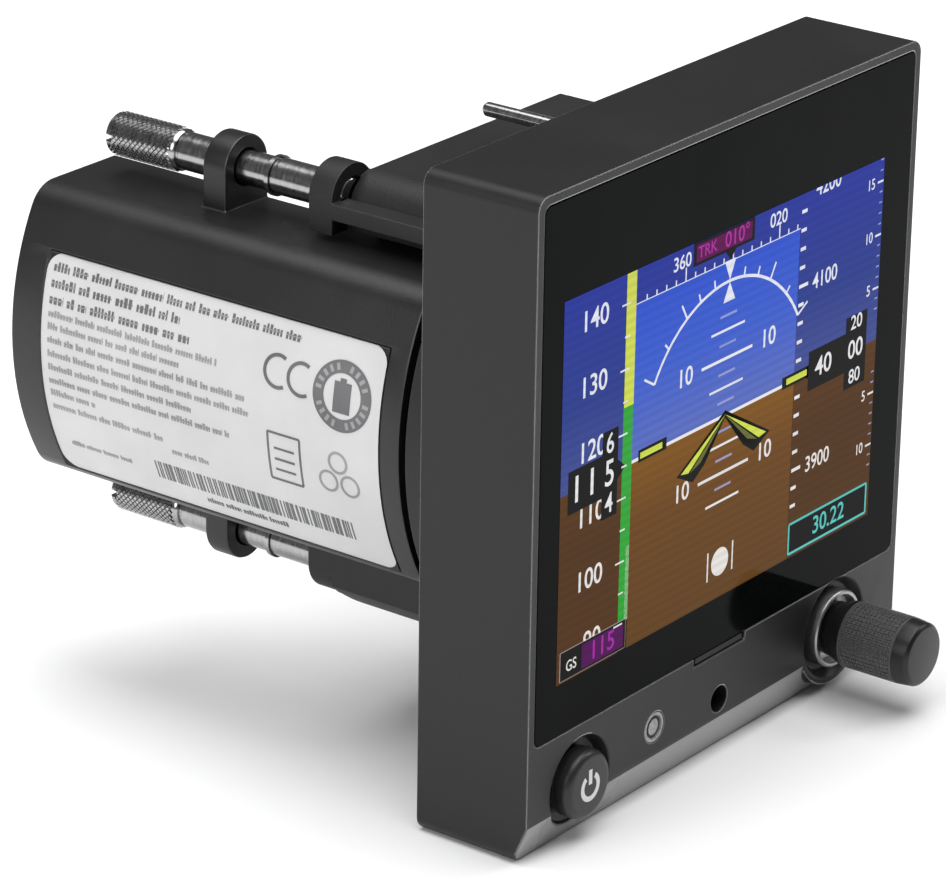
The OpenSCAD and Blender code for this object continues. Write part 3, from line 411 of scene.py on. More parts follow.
def keepPiece(bm, name, finish, body, replaced=(), smoothUnder=40, crease=0.00001):
    # turns a bmesh into a finished piece with its place in its mesh
    bmesh.ops.remove_doubles(bm, verts=bm.verts, dist=crease)
    bm.normal_update()
    for face in bm.faces:
        face.smooth = True
    for edge in bm.edges:
        edge.smooth = edge.calc_face_angle(0) < math.radians(smoothUnder)
    mesh = bpy.data.meshes.new(name)
    bm.to_mesh(mesh)
    bm.free()
    mesh.materials.append(finishes[finish])
    piece = bpy.data.objects.new(name, mesh)
    scene.collection.objects.link(piece)
    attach(piece, body)
    if replaced:
        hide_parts(*replaced)
    return piece


def evenNormals(piece):
    weighted = piece.modifiers.new("evenNormals", "WEIGHTED_NORMAL")
    weighted.keep_sharp = True
    weighted.weight = 80


def bevelEdges(bm, edges, width, segments=2):
    bmesh.ops.bevel(bm, geom=edges, offset=width, offset_type="OFFSET", segments=segments,
        profile=0.5, affect="EDGES", material=-1, clamp_overlap=False)


def sharpEdges(bm, overAngle):
    bm.normal_update()
    return [e for e in bm.edges if len(e.link_faces) == 2 and e.calc_face_angle(0) > math.radians(overAngle)]


def mergedCopy(nodeName):
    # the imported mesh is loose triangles, so a copy is merged and its flats are joined
    bm = bmesh.new()
    bm.from_mesh(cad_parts[nodeName].data)
    bmesh.ops.remove_doubles(bm, verts=bm.verts, dist=0.000003)
    bmesh.ops.dissolve_limit(bm, angle_limit=math.radians(0.4), verts=bm.verts, edges=bm.edges)
    return bm


def brokenEdges(nodeName, pieceName, finish, body, width, overAngle=32, segments=2):
    bm = mergedCopy(nodeName)
    skin = BVHTree.FromBMesh(bm)
    bevelEdges(bm, sharpEdges(bm, overAngle), width, segments)
    # a corner that the bevel throws off goes back to the surface
    for vert in bm.verts:
        spot, away = skin.find_nearest(vert.co)[0::3]
        if away > width / 2:
            vert.co = spot
    piece = keepPiece(bm, pieceName, finish, body, replaced=(nodeName,), crease=0.000001)
    evenNormals(piece)
    return piece


def sheenSlope(piece):
    # the sloped edge under the controls is smoother than the rest of the bezel, and its light grey tone is a painted
    # reflection of the floor
    piece.data.materials.append(finishes["bezelGlossPaintedReflection"])
    for face in piece.data.polygons:
        if face.normal.z < -0.3 and face.normal.y < -0.85:
            face.material_index = 1


def turned(profile, x, z, steps=96, turns=1.0):
    # spins a profile of (radius, y) in millimetres round an axis along Y
    bm = bmesh.new()
    verts = [bm.verts.new((x * mm + radius * mm, y * mm, z * mm)) for radius, y in profile]
    edges = [bm.edges.new(pair) for pair in zip(verts, verts[1:])]
    bmesh.ops.spin(bm, geom=verts + edges, cent=(x * mm, 0, z * mm), axis=alongY,
        angle=math.tau * turns, steps=steps, use_merge=turns == 1.0)
    bmesh.ops.remove_doubles(bm, verts=bm.verts, dist=0.000002)
    bmesh.ops.recalc_face_normals(bm, faces=bm.faces)
    return bm


def joinShapes(bm, other):
    mesh = bpy.data.meshes.new("part")
    other.to_mesh(mesh)
    other.free()
    bm.from_mesh(mesh)
    bpy.data.meshes.remove(mesh)


def cutShape(bm, cutter, operation="DIFFERENCE"):
    # a boolean between two closed shapes, handed back as a bmesh
    objects = []
    for shape in (bm, cutter):
        mesh = bpy.data.meshes.new("cut")
        shape.to_mesh(mesh)
        shape.free()
        objects.append(bpy.data.objects.new("cut", mesh))
        scene.collection.objects.link(objects[-1])
    modifier = objects[0].modifiers.new("cut", "BOOLEAN")
    modifier.operation = operation
    modifier.solver = "EXACT"
    modifier.object = objects[1]
    graph = bpy.context.evaluated_depsgraph_get()
    mesh = bpy.data.meshes.new_from_object(objects[0].evaluated_get(graph))
    result = bmesh.new()
    result.from_mesh(mesh)
    bpy.data.meshes.remove(mesh)
    for item in objects:
        mesh = item.data
        bpy.data.objects.remove(item)
        bpy.data.meshes.remove(mesh)
    return result


def box(x0, x1, y0, y1, z0, z1):
    bm = bmesh.new()
    size = Matrix.Diagonal(((x1 - x0) * mm, (y1 - y0) * mm, (z1 - z0) * mm, 1))
    middle = Matrix.Translation(Vector((x0 + x1, y0 + y1, z0 + z1)) * mm / 2)
    bmesh.ops.create_cube(bm, size=1, matrix=middle @ size)
    return bm


def facesBetween(bm, axisX, axisZ, radius, y0, y1, slack=0.06):
    # faces of a turned shape's outer wall between two places along Y
    found = []
    for face in bm.faces:
        middle = face.calc_center_median()
        out = math.hypot(middle.x - axisX * mm, middle.z - axisZ * mm)
        if y0 * mm < middle.y < y1 * mm and abs(out - radius * mm) < slack * mm:
            found.append(face)
    return found


# shells and small hardware that keep the frame's own shape

shells = {
    # node: (piece, finish, slot, body, edge width in mm, angle)
    "bezel": ("bezelShell", "bezelPlastic", "bezel_plastic", "instrument", 0.22, 32),
    "chassis": ("chassisPlate", "housingCoat", "housing_metal", "instrument", 0.14, 32),
    "rear_housing": ("rearHousing", "housingCoat", "housing_metal", "instrument", 0.20, 32),
    "battery_case": ("batteryCase", "batteryPlastic", "battery_plastic", "battery", 0.30, 32),
    "battery_cover": ("batteryCover", "batteryPlastic", "battery_plastic", "battery", 0.15, 32),
    "pitot_port": ("pitotPort", "fittingMetal", "fitting_metal", "instrument", 0.15, 32),
    "static_port": ("staticPort", "fittingMetal", "fitting_metal", "instrument", 0.15, 32),
    "data_connector_shell": ("dataShell", "sheetSteel", "sheet_steel", "instrument", 0.08, 32),
    "data_connector_insert": ("dataInsert", "chipPlastic", "chip_plastic", "instrument", 0.06, 32),
    "data_connector_posts": ("dataPosts", "turnedSteel", "screw_steel", "instrument", 0.12, 32),
    "antenna_jack": ("antennaJack", "fittingMetal", "fitting_metal", "instrument", 0.12, 32),
    "antenna_jack_core": ("antennaCore", "whitePlastic", "white_plastic", "instrument", 0.08, 32),
    "rating_plate": ("ratingPlate", "plateMetal", "plate_metal", "instrument", 0.05, 32),
    "housing_screws": ("housingScrews", "turnedSteel", "screw_steel", "instrument", 0.12, 32),
    "locating_pin": ("locatingPin", "turnedSteel", "screw_steel", "instrument", 0.10, 32),
    "memory_card": ("memoryCard", "chipPlastic", "chip_plastic", "memory_card", 0.06, 32),
    "contact_block": ("contactBlock", "chipPlastic", "chip_plastic", "instrument", 0.08, 32),
}
for node, (piece, finish, slot, body, width, angle) in shells.items():
    shell = brokenEdges(node, piece, finish, body, width * mm, angle)
    if node == "bezel":
        sheenSlope(shell)

# inner pieces keep the frame's mesh and only take a finish
innerFinishes = {
    "sealRubber": ["glass_bond"],
    "whitePlastic": ["backlight", "switch_plunger"],
    "sheetSteel": ["display_bracket", "board_shield", "encoder_body", "card_socket", "pitot_sensor", "static_sensor"],
    "flexFilm": ["display_flex"],
    "circuitBoard": ["main_board", "control_board", "antenna_board", "sensor_board", "protection_board"],
    "chipPlastic": ["main_board_chips", "switch_body", "light_sensor", "sensor_chips", "board_connector"],
    "turnedSteel": ["board_screws", "knob_shaft", "mounting_screw_washer", "chassis_screws",
        "upper_screw_ring", "lower_screw_ring"],
    "contactGold": ["encoder_rotor", "contact_pins", "battery_pads"],
    "firedCeramic": ["gps_antenna"],
    "tubeRubber": ["air_tubes"],
    "cellSleeve": ["battery_cell"],
    "blackGlass": ["lcd_panel"],
}
for finish, nodeNames in innerFinishes.items():
    for node in nodeNames:
        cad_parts[node].data.materials.clear()
        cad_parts[node].data.materials.append(finishes[finish])
print("shells and inner pieces ready")


# cover glass

def roundedPane(x0, x1, y0, y1, z0, z1, radius, segments=6):
    # box with its four edges along Y rounded
    bm = box(x0, x1, y0, y1, z0, z1)
    corners = [e for e in bm.edges if abs((e.verts[0].co - e.verts[1].co).normalized().y) > 0.9]
    bevelEdges(bm, corners, radius * mm, segments)
    return bm


def nodeBox(node):
    low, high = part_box(node)
    return low.x / mm, high.x / mm, low.y / mm, high.y / mm, low.z / mm, high.z / mm


coverGlass = {"corner": 1.2, "edge": 0.18}
pane = nodeBox("cover_glass")
bm = roundedPane(*pane, coverGlass["corner"])
bevelEdges(bm, sharpEdges(bm, 60), coverGlass["edge"] * mm)
evenNormals(keepPiece(bm, "coverGlass", "blackGlass", "instrument", replaced=("cover_glass",)))
glassFront = pane[2]
print("cover glass ready")


# knob, collar and button

knobPiece = {
    "steps": 42, "round": 0.45, "foot": 0.9, "neck": 3.2,
    "knurlRows": 12, "knurlFrom": 2.9, "knurlTo": 10.9, "knurlRaise": 0.22, "knurlGap": 0.24,
}


def makeKnob(setup):
    x0, x1, y0, y1, z0, z1 = nodeBox("knob")
    radius = (x1 - x0) / 2
    x, z = (x0 + x1) / 2, (z0 + z1) / 2
    face = nodeBox("bezel")[2]
    inner = radius - setup["knurlRaise"]
    start, end = y0 + setup["knurlFrom"], y0 + setup["knurlTo"]
    rows = setup["knurlRows"]
    wall = [(inner, start + (end - start) * i / rows) for i in range(rows + 1)]
    neck = face - setup["neck"]
    profile = [(0, y0), (radius - 0.75, y0), (radius - 0.25, y0 + setup["round"]), (radius - 0.02, start - 0.25),
        (inner, start - 0.1), *wall, (inner, end + 0.1), (radius - 0.02, end + 0.25), (radius, neck),
        (radius - setup["foot"], face - 0.9), (radius - setup["foot"], y1), (0, y1)]
    bm = turned(profile, x, z, setup["steps"])
    studs = facesBetween(bm, x, z, inner, start, end, 0.12)
    bmesh.ops.inset_individual(bm, faces=studs, thickness=setup["knurlGap"] * mm / 2, depth=0)
    bmesh.ops.inset_individual(bm, faces=studs, thickness=0.06 * mm, depth=setup["knurlRaise"] * mm)
    rims = [e for e in sharpEdges(bm, 20) if abs(e.verts[0].co.y - e.verts[1].co.y) < 1e-6
        and (e.verts[0].co.y < (y0 + 0.6) * mm or e.verts[0].co.y > (neck - 0.1) * mm)
        and math.hypot(e.verts[0].co.x - x * mm, e.verts[0].co.z - z * mm) > 1 * mm]
    bevelEdges(bm, rims, 0.12 * mm, 2)
    return keepPiece(bm, "knobGrip", "knobPlastic", "knob", replaced=("knob",), smoothUnder=38)


collarPiece = {"rimRound": 0.2, "steps": 128}


def makeCollar(setup):
    x0, x1, y0, y1, z0, z1 = nodeBox("knob_collar")
    radius = (x1 - x0) / 2
    inside = radius - 0.65
    profile = [(radius - 2.0, y1 - 0.8), (inside, y1 - 0.8), (inside, y0 + 0.1), (inside + 0.1, y0),
        (radius - setup["rimRound"], y0), (radius, y0 + setup["rimRound"]), (radius, y1), (radius - 2.0, y1),
        (radius - 2.0, y1 - 0.8)]
    bm = turned(profile, (x0 + x1) / 2, (z0 + z1) / 2, setup["steps"])
    bevelEdges(bm, sharpEdges(bm, 30), 0.05 * mm, 2)
    return keepPiece(bm, "knobCollar", "collarMetal", "instrument", replaced=("knob_collar",))


buttonPiece = {"faceRound": 1.1, "stem": 4.0, "catch": 4.8, "steps": 112,
    "symbolRadius": 1.7, "symbolStroke": 0.72, "symbolOpen": 70, "symbolUp": -0.1, "ink": 0.03}


def ringOfInk(bm, x, y, z, radius, stroke, openDegrees, thick):
    # a band round an axis along Y, open at the top, facing -Y
    verts = []
    for out in (radius - stroke / 2, radius + stroke / 2):
        for depth in (0, thick):
            verts.append(bm.verts.new(((x + out * 0) * mm, (y + depth) * mm, (z + out) * mm)))
    near, nearBack, far, farBack = verts
    section = bm.faces.new((near, far, farBack, nearBack))
    sweep = math.radians(360 - openDegrees)
    start = Matrix.Rotation(math.radians(openDegrees / 2), 3, "Y")
    bmesh.ops.rotate(bm, verts=verts, cent=(x * mm, 0, z * mm), matrix=start)
    bmesh.ops.spin(bm, geom=[section, *section.edges, *verts], cent=(x * mm, 0, z * mm), axis=alongY,
        angle=sweep, steps=48)
    bmesh.ops.recalc_face_normals(bm, faces=bm.faces)


def makeButton(setup):
    x0, x1, y0, y1, z0, z1 = nodeBox("power_button")
    x, z, radius = (x0 + x1) / 2, (z0 + z1) / 2, (x1 - x0) / 2
    face = nodeBox("bezel")[2]
    back = face + 1.1
    arc = [(radius - setup["faceRound"] * (1 - math.sin(math.radians(a))),
        y0 + setup["faceRound"] * (1 - math.cos(math.radians(a)))) for a in range(0, 91, 15)]
    profile = [(0, y0), *arc, (radius, back), (setup["stem"], back), (setup["stem"], face + 3.3),
        (setup["catch"], face + 3.3), (setup["catch"], face + 4), (setup["stem"] / 2, face + 4),
        (setup["stem"] / 2, y1), (0, y1)]
    bm = turned(profile, x, z, setup["steps"])
    keepPiece(bm, "powerButton", "buttonPlastic", "power_button", replaced=("power_button",))
    ink = bmesh.new()
    middle = z + setup["symbolUp"]
    front = y0 - setup["ink"]
    ringOfInk(ink, x, front, middle, setup["symbolRadius"], setup["symbolStroke"], setup["symbolOpen"], setup["ink"])
    half = setup["symbolStroke"] / 2
    joinShapes(ink, box(x - half, x + half, front, front + setup["ink"], middle + 0.35,
        middle + setup["symbolRadius"] + 0.75))
    keepPiece(ink, "buttonSymbol", "whiteInk", "power_button")


makeKnob(knobPiece)
makeCollar(collarPiece)
makeButton(buttonPiece)
print("knob, collar and button ready")


# light sensor lens

lensPiece = {"rim": 0.5, "groove": 0.16, "dome": 0.10, "steps": 72}


def makeLens(setup):
    x0, x1, y0, y1, z0, z1 = nodeBox("light_sensor_lens")
    x, z = (x0 + x1) / 2, (z0 + z1) / 2
    flange = (x1 - x0) / 2
    radius = flange - 0.75
    eye = radius - setup["rim"] - 0.12
    wall = nodeBox("bezel")[2] + 3.25      # rear side of the bezel's front wall
    dome = [(eye * math.sin(math.radians(a)), y0 + 0.25 - setup["dome"] * math.cos(math.radians(a)))
        for a in range(0, 91, 10)]
    profile = [*dome, (eye + 0.05, y0 + 0.3), (eye + 0.12, y0 + 0.3), (radius - setup["rim"] + 0.05, y0 + 0.06),
        (radius - setup["rim"] + 0.14, y0), (radius - 0.1, y0), (radius, y0 + 0.08), (radius, wall),
        (flange, wall), (flange, wall + 0.5), (radius - 0.6, wall + 0.5), (radius - 0.6, y1), (0, y1)]
    bm = turned(profile, x, z, setup["steps"])
    keepPiece(bm, "sensorLens", "lensPlastic", "instrument", replaced=("light_sensor_lens",))
    ring = turned([(eye - 0.35, y0 + 0.10), (eye - 0.02, y0 + 0.20), (eye - 0.02, y0 + 0.26),
        (eye - 0.35, y0 + 0.26), (eye - 0.35, y0 + 0.10)], x, z, setup["steps"])
    keepPiece(ring, "sensorIris", "chipPlastic", "instrument")


makeLens(lensPiece)
print("lens ready")


# thumbscrews

thumbscrewPiece = {
    "shaft": 2.4, "nose": 2.55, "neck": 2.65, "groove": 1.95, "headLong": 12.5, "neckLong": 6.3,
    "knurlAround": 24, "knurlRows": 13, "knurlRaise": 0.2, "slotWide": 1.0, "slotDeep": 1.6,
}


def makeThumbscrew(node, name, body, setup):
    x0, x1, y0, y1, z0, z1 = nodeBox(node)
    x, z, head = (x0 + x1) / 2, (z0 + z1) / 2, (x1 - x0) / 2
    ring = nodeBox(node.replace("thumbscrew", "screw_ring"))
    grooveFrom, grooveTo = ring[2] - 0.1, ring[3] + 0.1
    headFrom = y1 - setup["headLong"]
    neckFrom = headFrom - setup["neckLong"]
    base = head - setup["knurlRaise"]
    start, end = headFrom + 0.7, y1 - 0.8
    rows = setup["knurlRows"]
    wall = [(base, start + (end - start) * i / rows) for i in range(rows + 1)]
    profile = [(0, y0), (setup["nose"] - 0.4, y0), (setup["nose"], y0 + 0.4), (setup["nose"], grooveFrom),
        (setup["groove"], grooveFrom + 0.1), (setup["groove"], grooveTo - 0.1),
        (setup["shaft"], grooveTo), (setup["shaft"], neckFrom),
        (setup["neck"], neckFrom + 0.2), (setup["neck"], headFrom - 0.6),
        (setup["shaft"] + 0.1, headFrom - 0.4), (setup["shaft"] + 0.1, headFrom),
        (base - 0.2, headFrom + 0.02), (base, start - 0.35), *wall, (base, end + 0.3),
        (base - 0.45, y1), (0, y1)]
    bm = turned(profile, x, z, setup["knurlAround"])
    # the knurl: quads are poked, and their old edges go, which leaves diamonds
    quads = facesBetween(bm, x, z, base, start, end, 0.1)
    old = set(e for f in quads for e in f.edges if all(g in quads for g in e.link_faces))
    bmesh.ops.poke(bm, faces=quads)
    bmesh.ops.dissolve_edges(bm, edges=list(old), use_verts=False)
    bm.normal_update()
    diamonds = [f for f in facesBetween(bm, x, z, base, start, end, 0.12) if len(f.verts) == 4]
    bmesh.ops.inset_individual(bm, faces=diamonds, thickness=0.13 * mm, depth=setup["knurlRaise"] * mm)
    # the plain lengths are made rounder than the knurl's count allows
    long = [e for e in bm.edges if (e.verts[0].co - e.verts[1].co).length > 0
        and abs(e.verts[0].co.y - e.verts[1].co.y) < 1e-7
        and e.verts[0].co.y < (headFrom - 0.2) * mm]
    bmesh.ops.subdivide_edges(bm, edges=long, cuts=2, use_grid_fill=False)
    for vert in bm.verts:
        out = math.hypot(vert.co.x - x * mm, vert.co.z - z * mm)
        if vert.co.y < (headFrom - 0.2) * mm and out > 0.0005:
            level = [r for r, y in profile if abs(y * mm - vert.co.y) < 2e-6 and r > 0]
            if level:
                want = min(level, key=lambda r: abs(r * mm - out)) * mm
                vert.co.x = x * mm + (vert.co.x - x * mm) * want / out
                vert.co.z = z * mm + (vert.co.z - z * mm) * want / out
    half = setup["slotWide"] / 2
    slot = box(x - head - 1, x + head + 1, y1 - setup["slotDeep"], y1 + 1, z - half, z + half)
    bm = cutShape(bm, slot)
    return keepPiece(bm, name, "turnedSteel", body, replaced=(node,), smoothUnder=35, crease=0.000001)


makeThumbscrew("upper_thumbscrew", "upperThumbscrew", "upper_screw", thumbscrewPiece)
makeThumbscrew("lower_thumbscrew", "lowerThumbscrew", "lower_screw", thumbscrewPiece)
print("thumbscrews ready")


# mounting screw with a real thread on its tip

mountingPiece = {"pitch": 0.6, "threadDeep": 0.22, "steps": 20, "key": 1.35, "keyDeep": 2}


def makeThread(x, z, radius, y0, y1, pitch, deep, steps):
    # a ridge swept along a helix round an axis along Y
    bm = bmesh.new()
    root, half = radius - deep, pitch * 0.42
    verts = [bm.verts.new(((x + r) * mm, (y0 + y) * mm, z * mm)) for r, y in
        ((root - 0.1, -half), (root, -half), (radius, -0.04), (radius, 0.04), (root, half), (root - 0.1, half))]
    face = bm.faces.new(verts)
    turns = (y1 - y0) / pitch
    count = int(turns * steps)
    bmesh.ops.spin(bm, geom=[face, *face.edges, *verts], cent=(x * mm, 0, z * mm), axis=alongY,
        dvec=(0, (y1 - y0) / count * mm, 0), angle=math.tau * turns, steps=count)
    bmesh.ops.recalc_face_normals(bm, faces=bm.faces)
    return bm


def makeMountingScrew(setup):
    x0, x1, y0, y1, z0, z1 = nodeBox("mounting_screw")
    x, z, head = (x0 + x1) / 2, (z0 + z1) / 2, (x1 - x0) / 2
    shank, headBack, thread = head - 1.3, y0 + 3.4, head - 1.1
    core = thread - setup["threadDeep"]
    profile = [(0, y0), (head - 0.3, y0), (head, y0 + 0.3), (head, headBack),
        (shank, headBack), (shank, 1.0), (core, 1.2), (core, y1 - 0.5), (core - 0.4, y1), (0, y1)]
    bm = turned(profile, x, z, 60)
    corners = setup["key"]
    key = turned([(0, y0 - 1), (corners, y0 - 1), (corners, y0 + setup["keyDeep"]), (0, y0 + setup["keyDeep"])], x, z, 6)
    bm = cutShape(bm, key)
    joinShapes(bm, makeThread(x, z, thread, 1.6, y1 - 0.9, setup["pitch"], setup["threadDeep"], setup["steps"]))
    return keepPiece(bm, "mountingScrew", "darkSteel", "mounting_screw", replaced=("mounting_screw",),
        smoothUnder=35, crease=0.0000005)


makeMountingScrew(mountingPiece)
print("mounting screw ready")


# label on the battery, without words

labelPiece = {
    "radius": nodeBox("battery_case")[0] * -1 - 0.1, "low": -29.5, "high": 20.5,   # degrees above the middle
    "corner": 2.6, "film": 0.04, "ink": 0.03,
}
labelRear = nodeBox("battery_label")[3]
labelFront = nodeBox("battery_label")[2]
labelLong = labelRear - labelFront
labelTall = math.radians(labelPiece["high"] - labelPiece["low"]) * labelPiece["radius"]


def flatBlock(bm, u0, u1, v0, v1, lift):
    # a flat patch on the label's own plane: u runs from its rear end, v up from its lower edge
    size = Matrix.Diagonal(((u1 - u0) * mm, (v1 - v0) * mm, 1, 1))
    place = Matrix.Translation(((u0 + u1) / 2 * mm, (v0 + v1) / 2 * mm, lift * mm))
    bmesh.ops.create_grid(bm, x_segments=1, y_segments=1, size=0.5, matrix=place @ size)


def flatRing(bm, u, v, radius, stroke, lift, start=0, sweep=360, steps=48):
    out = [bm.verts.new(((u + r) * mm, v * mm, lift * mm)) for r in (radius - stroke / 2, radius + stroke / 2)]
    edge = bm.edges.new(out)
    bmesh.ops.rotate(bm, verts=out, cent=(u * mm, v * mm, 0), matrix=Matrix.Rotation(math.radians(start), 3, "Z"))
    bmesh.ops.spin(bm, geom=[edge, *out], cent=(u * mm, v * mm, 0), axis=(0, 0, 1),
        angle=math.radians(sweep), steps=steps, use_merge=sweep == 360)


def flatStroke(bm, u0, v0, u1, v1, stroke, lift):
    length = math.hypot(u1 - u0, v1 - v0)
    turn = Matrix.Rotation(math.atan2(v1 - v0, u1 - u0), 4, "Z")
    place = Matrix.Translation(((u0 + u1) / 2 * mm, (v0 + v1) / 2 * mm, lift * mm))
    size = Matrix.Diagonal((length * mm, stroke * mm, 1, 1))
    bmesh.ops.create_grid(bm, x_segments=1, y_segments=1, size=0.5, matrix=place @ turn @ size)


def wrapOnBattery(bm, thick):
    # cuts the flat artwork into strips, then bends it round the battery
    for v in [i * 1.2 for i in range(1, int(labelTall / 1.2) + 1)]:
        everything = [*bm.verts, *bm.edges, *bm.faces]
        bmesh.ops.bisect_plane(bm, geom=everything, plane_co=(0, v * mm, 0), plane_no=(0, 1, 0), dist=0.0000001)
    radius = labelPiece["radius"]
    for vert in bm.verts:
        angle = math.radians(labelPiece["low"]) + vert.co.y / (radius * mm)
        out = radius * mm + vert.co.z
        vert.co = Vector((-out * math.cos(angle), labelRear * mm - vert.co.x, out * math.sin(angle)))
    bm.normal_update()
    for face in bm.faces:
        middle = face.calc_center_median()
        if face.normal.dot(Vector((middle.x, 0, middle.z))) < 0:
            face.normal_flip()
    bmesh.ops.recalc_face_normals(bm, faces=bm.faces)
    bm.normal_update()
    if sum(f.normal.dot(Vector((f.calc_center_median().x, 0, f.calc_center_median().z))) for f in bm.faces) < 0:
        bmesh.ops.reverse_faces(bm, faces=bm.faces)
    bmesh.ops.solidify(bm, geom=bm.faces, thickness=thick * mm)
    bmesh.ops.recalc_face_normals(bm, faces=bm.faces)


def makeLabel():
    film = labelPiece["film"]
    sheet = bmesh.new()
    flatBlock(sheet, 0, labelLong, 0, labelTall, 0)
    bmesh.ops.bevel(sheet, geom=sheet.verts[:], offset=labelPiece["corner"] * mm, offset_type="OFFSET", segments=6,
        profile=0.5, affect="VERTICES", material=-1)
    wrapOnBattery(sheet, film)
    keepPiece(sheet, "labelSheet", "labelFilm", "battery", replaced=("battery_label",), crease=0.000001)


# lines of grey dashes stand where print would be: u from, u to, v, height, dark or pale
labelLines = [(1.2, 44.5, 31.4, 1.25, True), (1.2, 24, 29.2, 1.35, True), (1.2, 26, 26.9, 1.35, True),
    (1.2, 31, 24.9, 0.95, False), (1.2, 25, 23.1, 0.95, False), (1.2, 36, 21.2, 0.95, False),
    (1.2, 36.8, 19.2, 0.95, False), (1.2, 27.2, 17.2, 0.95, False), (1.2, 33.2, 15.2, 0.95, False),
    (1.2, 9.2, 13.3, 0.95, False), (1.2, 21, 11.2, 0.95, False), (22.3, 29, 9.6, 0.85, False),
    (26.4, 40.5, 2.4, 0.9, True), (3.0, 13.8, 5.3, 0.8, False)]
labelBars = {"from": 18.4, "to": 52.6, "low": 3.9, "high": 6.9, "seed": 11}
labelMarks = {
    "ring": (52.3, 25.4, 4.85, 1.75), "ringTicks": 22, "cell": (50.9, 23.1, 53.7, 27.3),
    "frame": (40.0, 10.6, 45.4, 17.6), "dots": (51.8, 13.9, 2.3),
    "arcs": ((41.4, 26.2, 2.2), (45.4, 26.0, 2.2)),
}


def makePrint():
    dark, pale = bmesh.new(), bmesh.new()
    lift = labelPiece["film"] + labelPiece["ink"] * 0.5
    rng = random.Random(labelBars["seed"])
    for u0, u1, v, tall, isDark in labelLines:
        at = u0
        while at < u1:
            word = rng.uniform(1.2, 4.6)
            end = min(at + word, u1)
            # a word is a run of small upright strokes joined by a thin waist
            letter = at
            while letter < end:
                wide = rng.uniform(0.22, 0.42) * tall
                high = tall * rng.choice((0.72, 0.72, 1.0))
                flatBlock(dark if isDark else pale, letter, min(letter + wide, end), v - tall / 2,
                    v - tall / 2 + high, lift)
                letter += wide + 0.20 * tall
            flatBlock(pale if isDark else pale, at, end, v - tall * 0.12, v + tall * 0.02, lift - 0.006)
            at = end + 0.55 * tall
    at = labelBars["from"]
    while at < labelBars["to"]:
        wide = rng.choice((0.18, 0.18, 0.36, 0.54))
        flatBlock(dark, at, at + wide, labelBars["low"], labelBars["high"], lift)
        at += wide + rng.choice((0.2, 0.2, 0.4))
    u, v, radius, stroke = labelMarks["ring"]
    flatRing(dark, u, v, radius - stroke / 2, stroke, lift)
    for i in range(labelMarks["ringTicks"]):
        if i % 11 not in (0, 5):
            a = math.tau * i / labelMarks["ringTicks"] + 0.14
            near, far = radius - stroke + 0.4, radius - 0.4
            flatStroke(pale, u + near * math.cos(a), v + near * math.sin(a), u + far * math.cos(a),
                v + far * math.sin(a), 0.5, lift + 0.02)
    u0, v0, u1, v1 = labelMarks["cell"]
    flatBlock(dark, u0, u1, v0, v1, lift)
    flatBlock(dark, (u0 + u1) / 2 - 0.5, (u0 + u1) / 2 + 0.5, v1, v1 + 0.5, lift)
    for u, v, radius in labelMarks["arcs"]:
        flatRing(dark, u, v, radius, 0.5, lift, 60, 240, 28)
    u0, v0, u1, v1 = labelMarks["frame"]
    for a, b, c, d in ((u0, v0, u1, v0), (u0, v1, u1, v1), (u0, v0, u0, v1), (u1, v0, u1, v1),
            (u0 + 1, v0 + 1.6, u1 - 1, v0 + 1.6), (u0 + 1, v0 + 3.2, u1 - 1, v0 + 3.2),
            (u0 + 1, v0 + 4.8, u1 - 1, v0 + 4.8)):
        flatStroke(dark, a, b, c, d, 0.32, lift)
    u, v, radius = labelMarks["dots"]
    for i in range(3):
        a = math.radians(90 + 120 * i)
        flatRing(pale, u + radius * math.cos(a) * 0.9, v + radius * math.sin(a) * 0.9, 1.45, 0.36, lift, 0, 360, 28)
    for bm, name, finish in ((dark, "labelPrintDark", "labelInk"), (pale, "labelPrintPale", "paleInk")):
        wrapOnBattery(bm, labelPiece["ink"])
        keepPiece(bm, name, finish, "battery", crease=0.0000005)


makeLabel()
makePrint()
print("label ready")


# the picture on the glass

picture = {
    "left": -37.7, "right": 35.4, "low": -25.4, "high": 27.1,     # millimetres from the barrel's axis
    "horizon": 0.8, "middle": -1.15, "perDegree": 0.81,
    "speedRight": -24.4, "barRight": -22.3, "perKnot": 0.89, "speed": 115,
    "heightLeft": 15.2, "perTwenty": 2.65, "headingLow": 22.4,
    "rollRadius": 19.1, "rollCentre": 0.55, "climbStep": 7.7,
    "layer": 0.02,
}


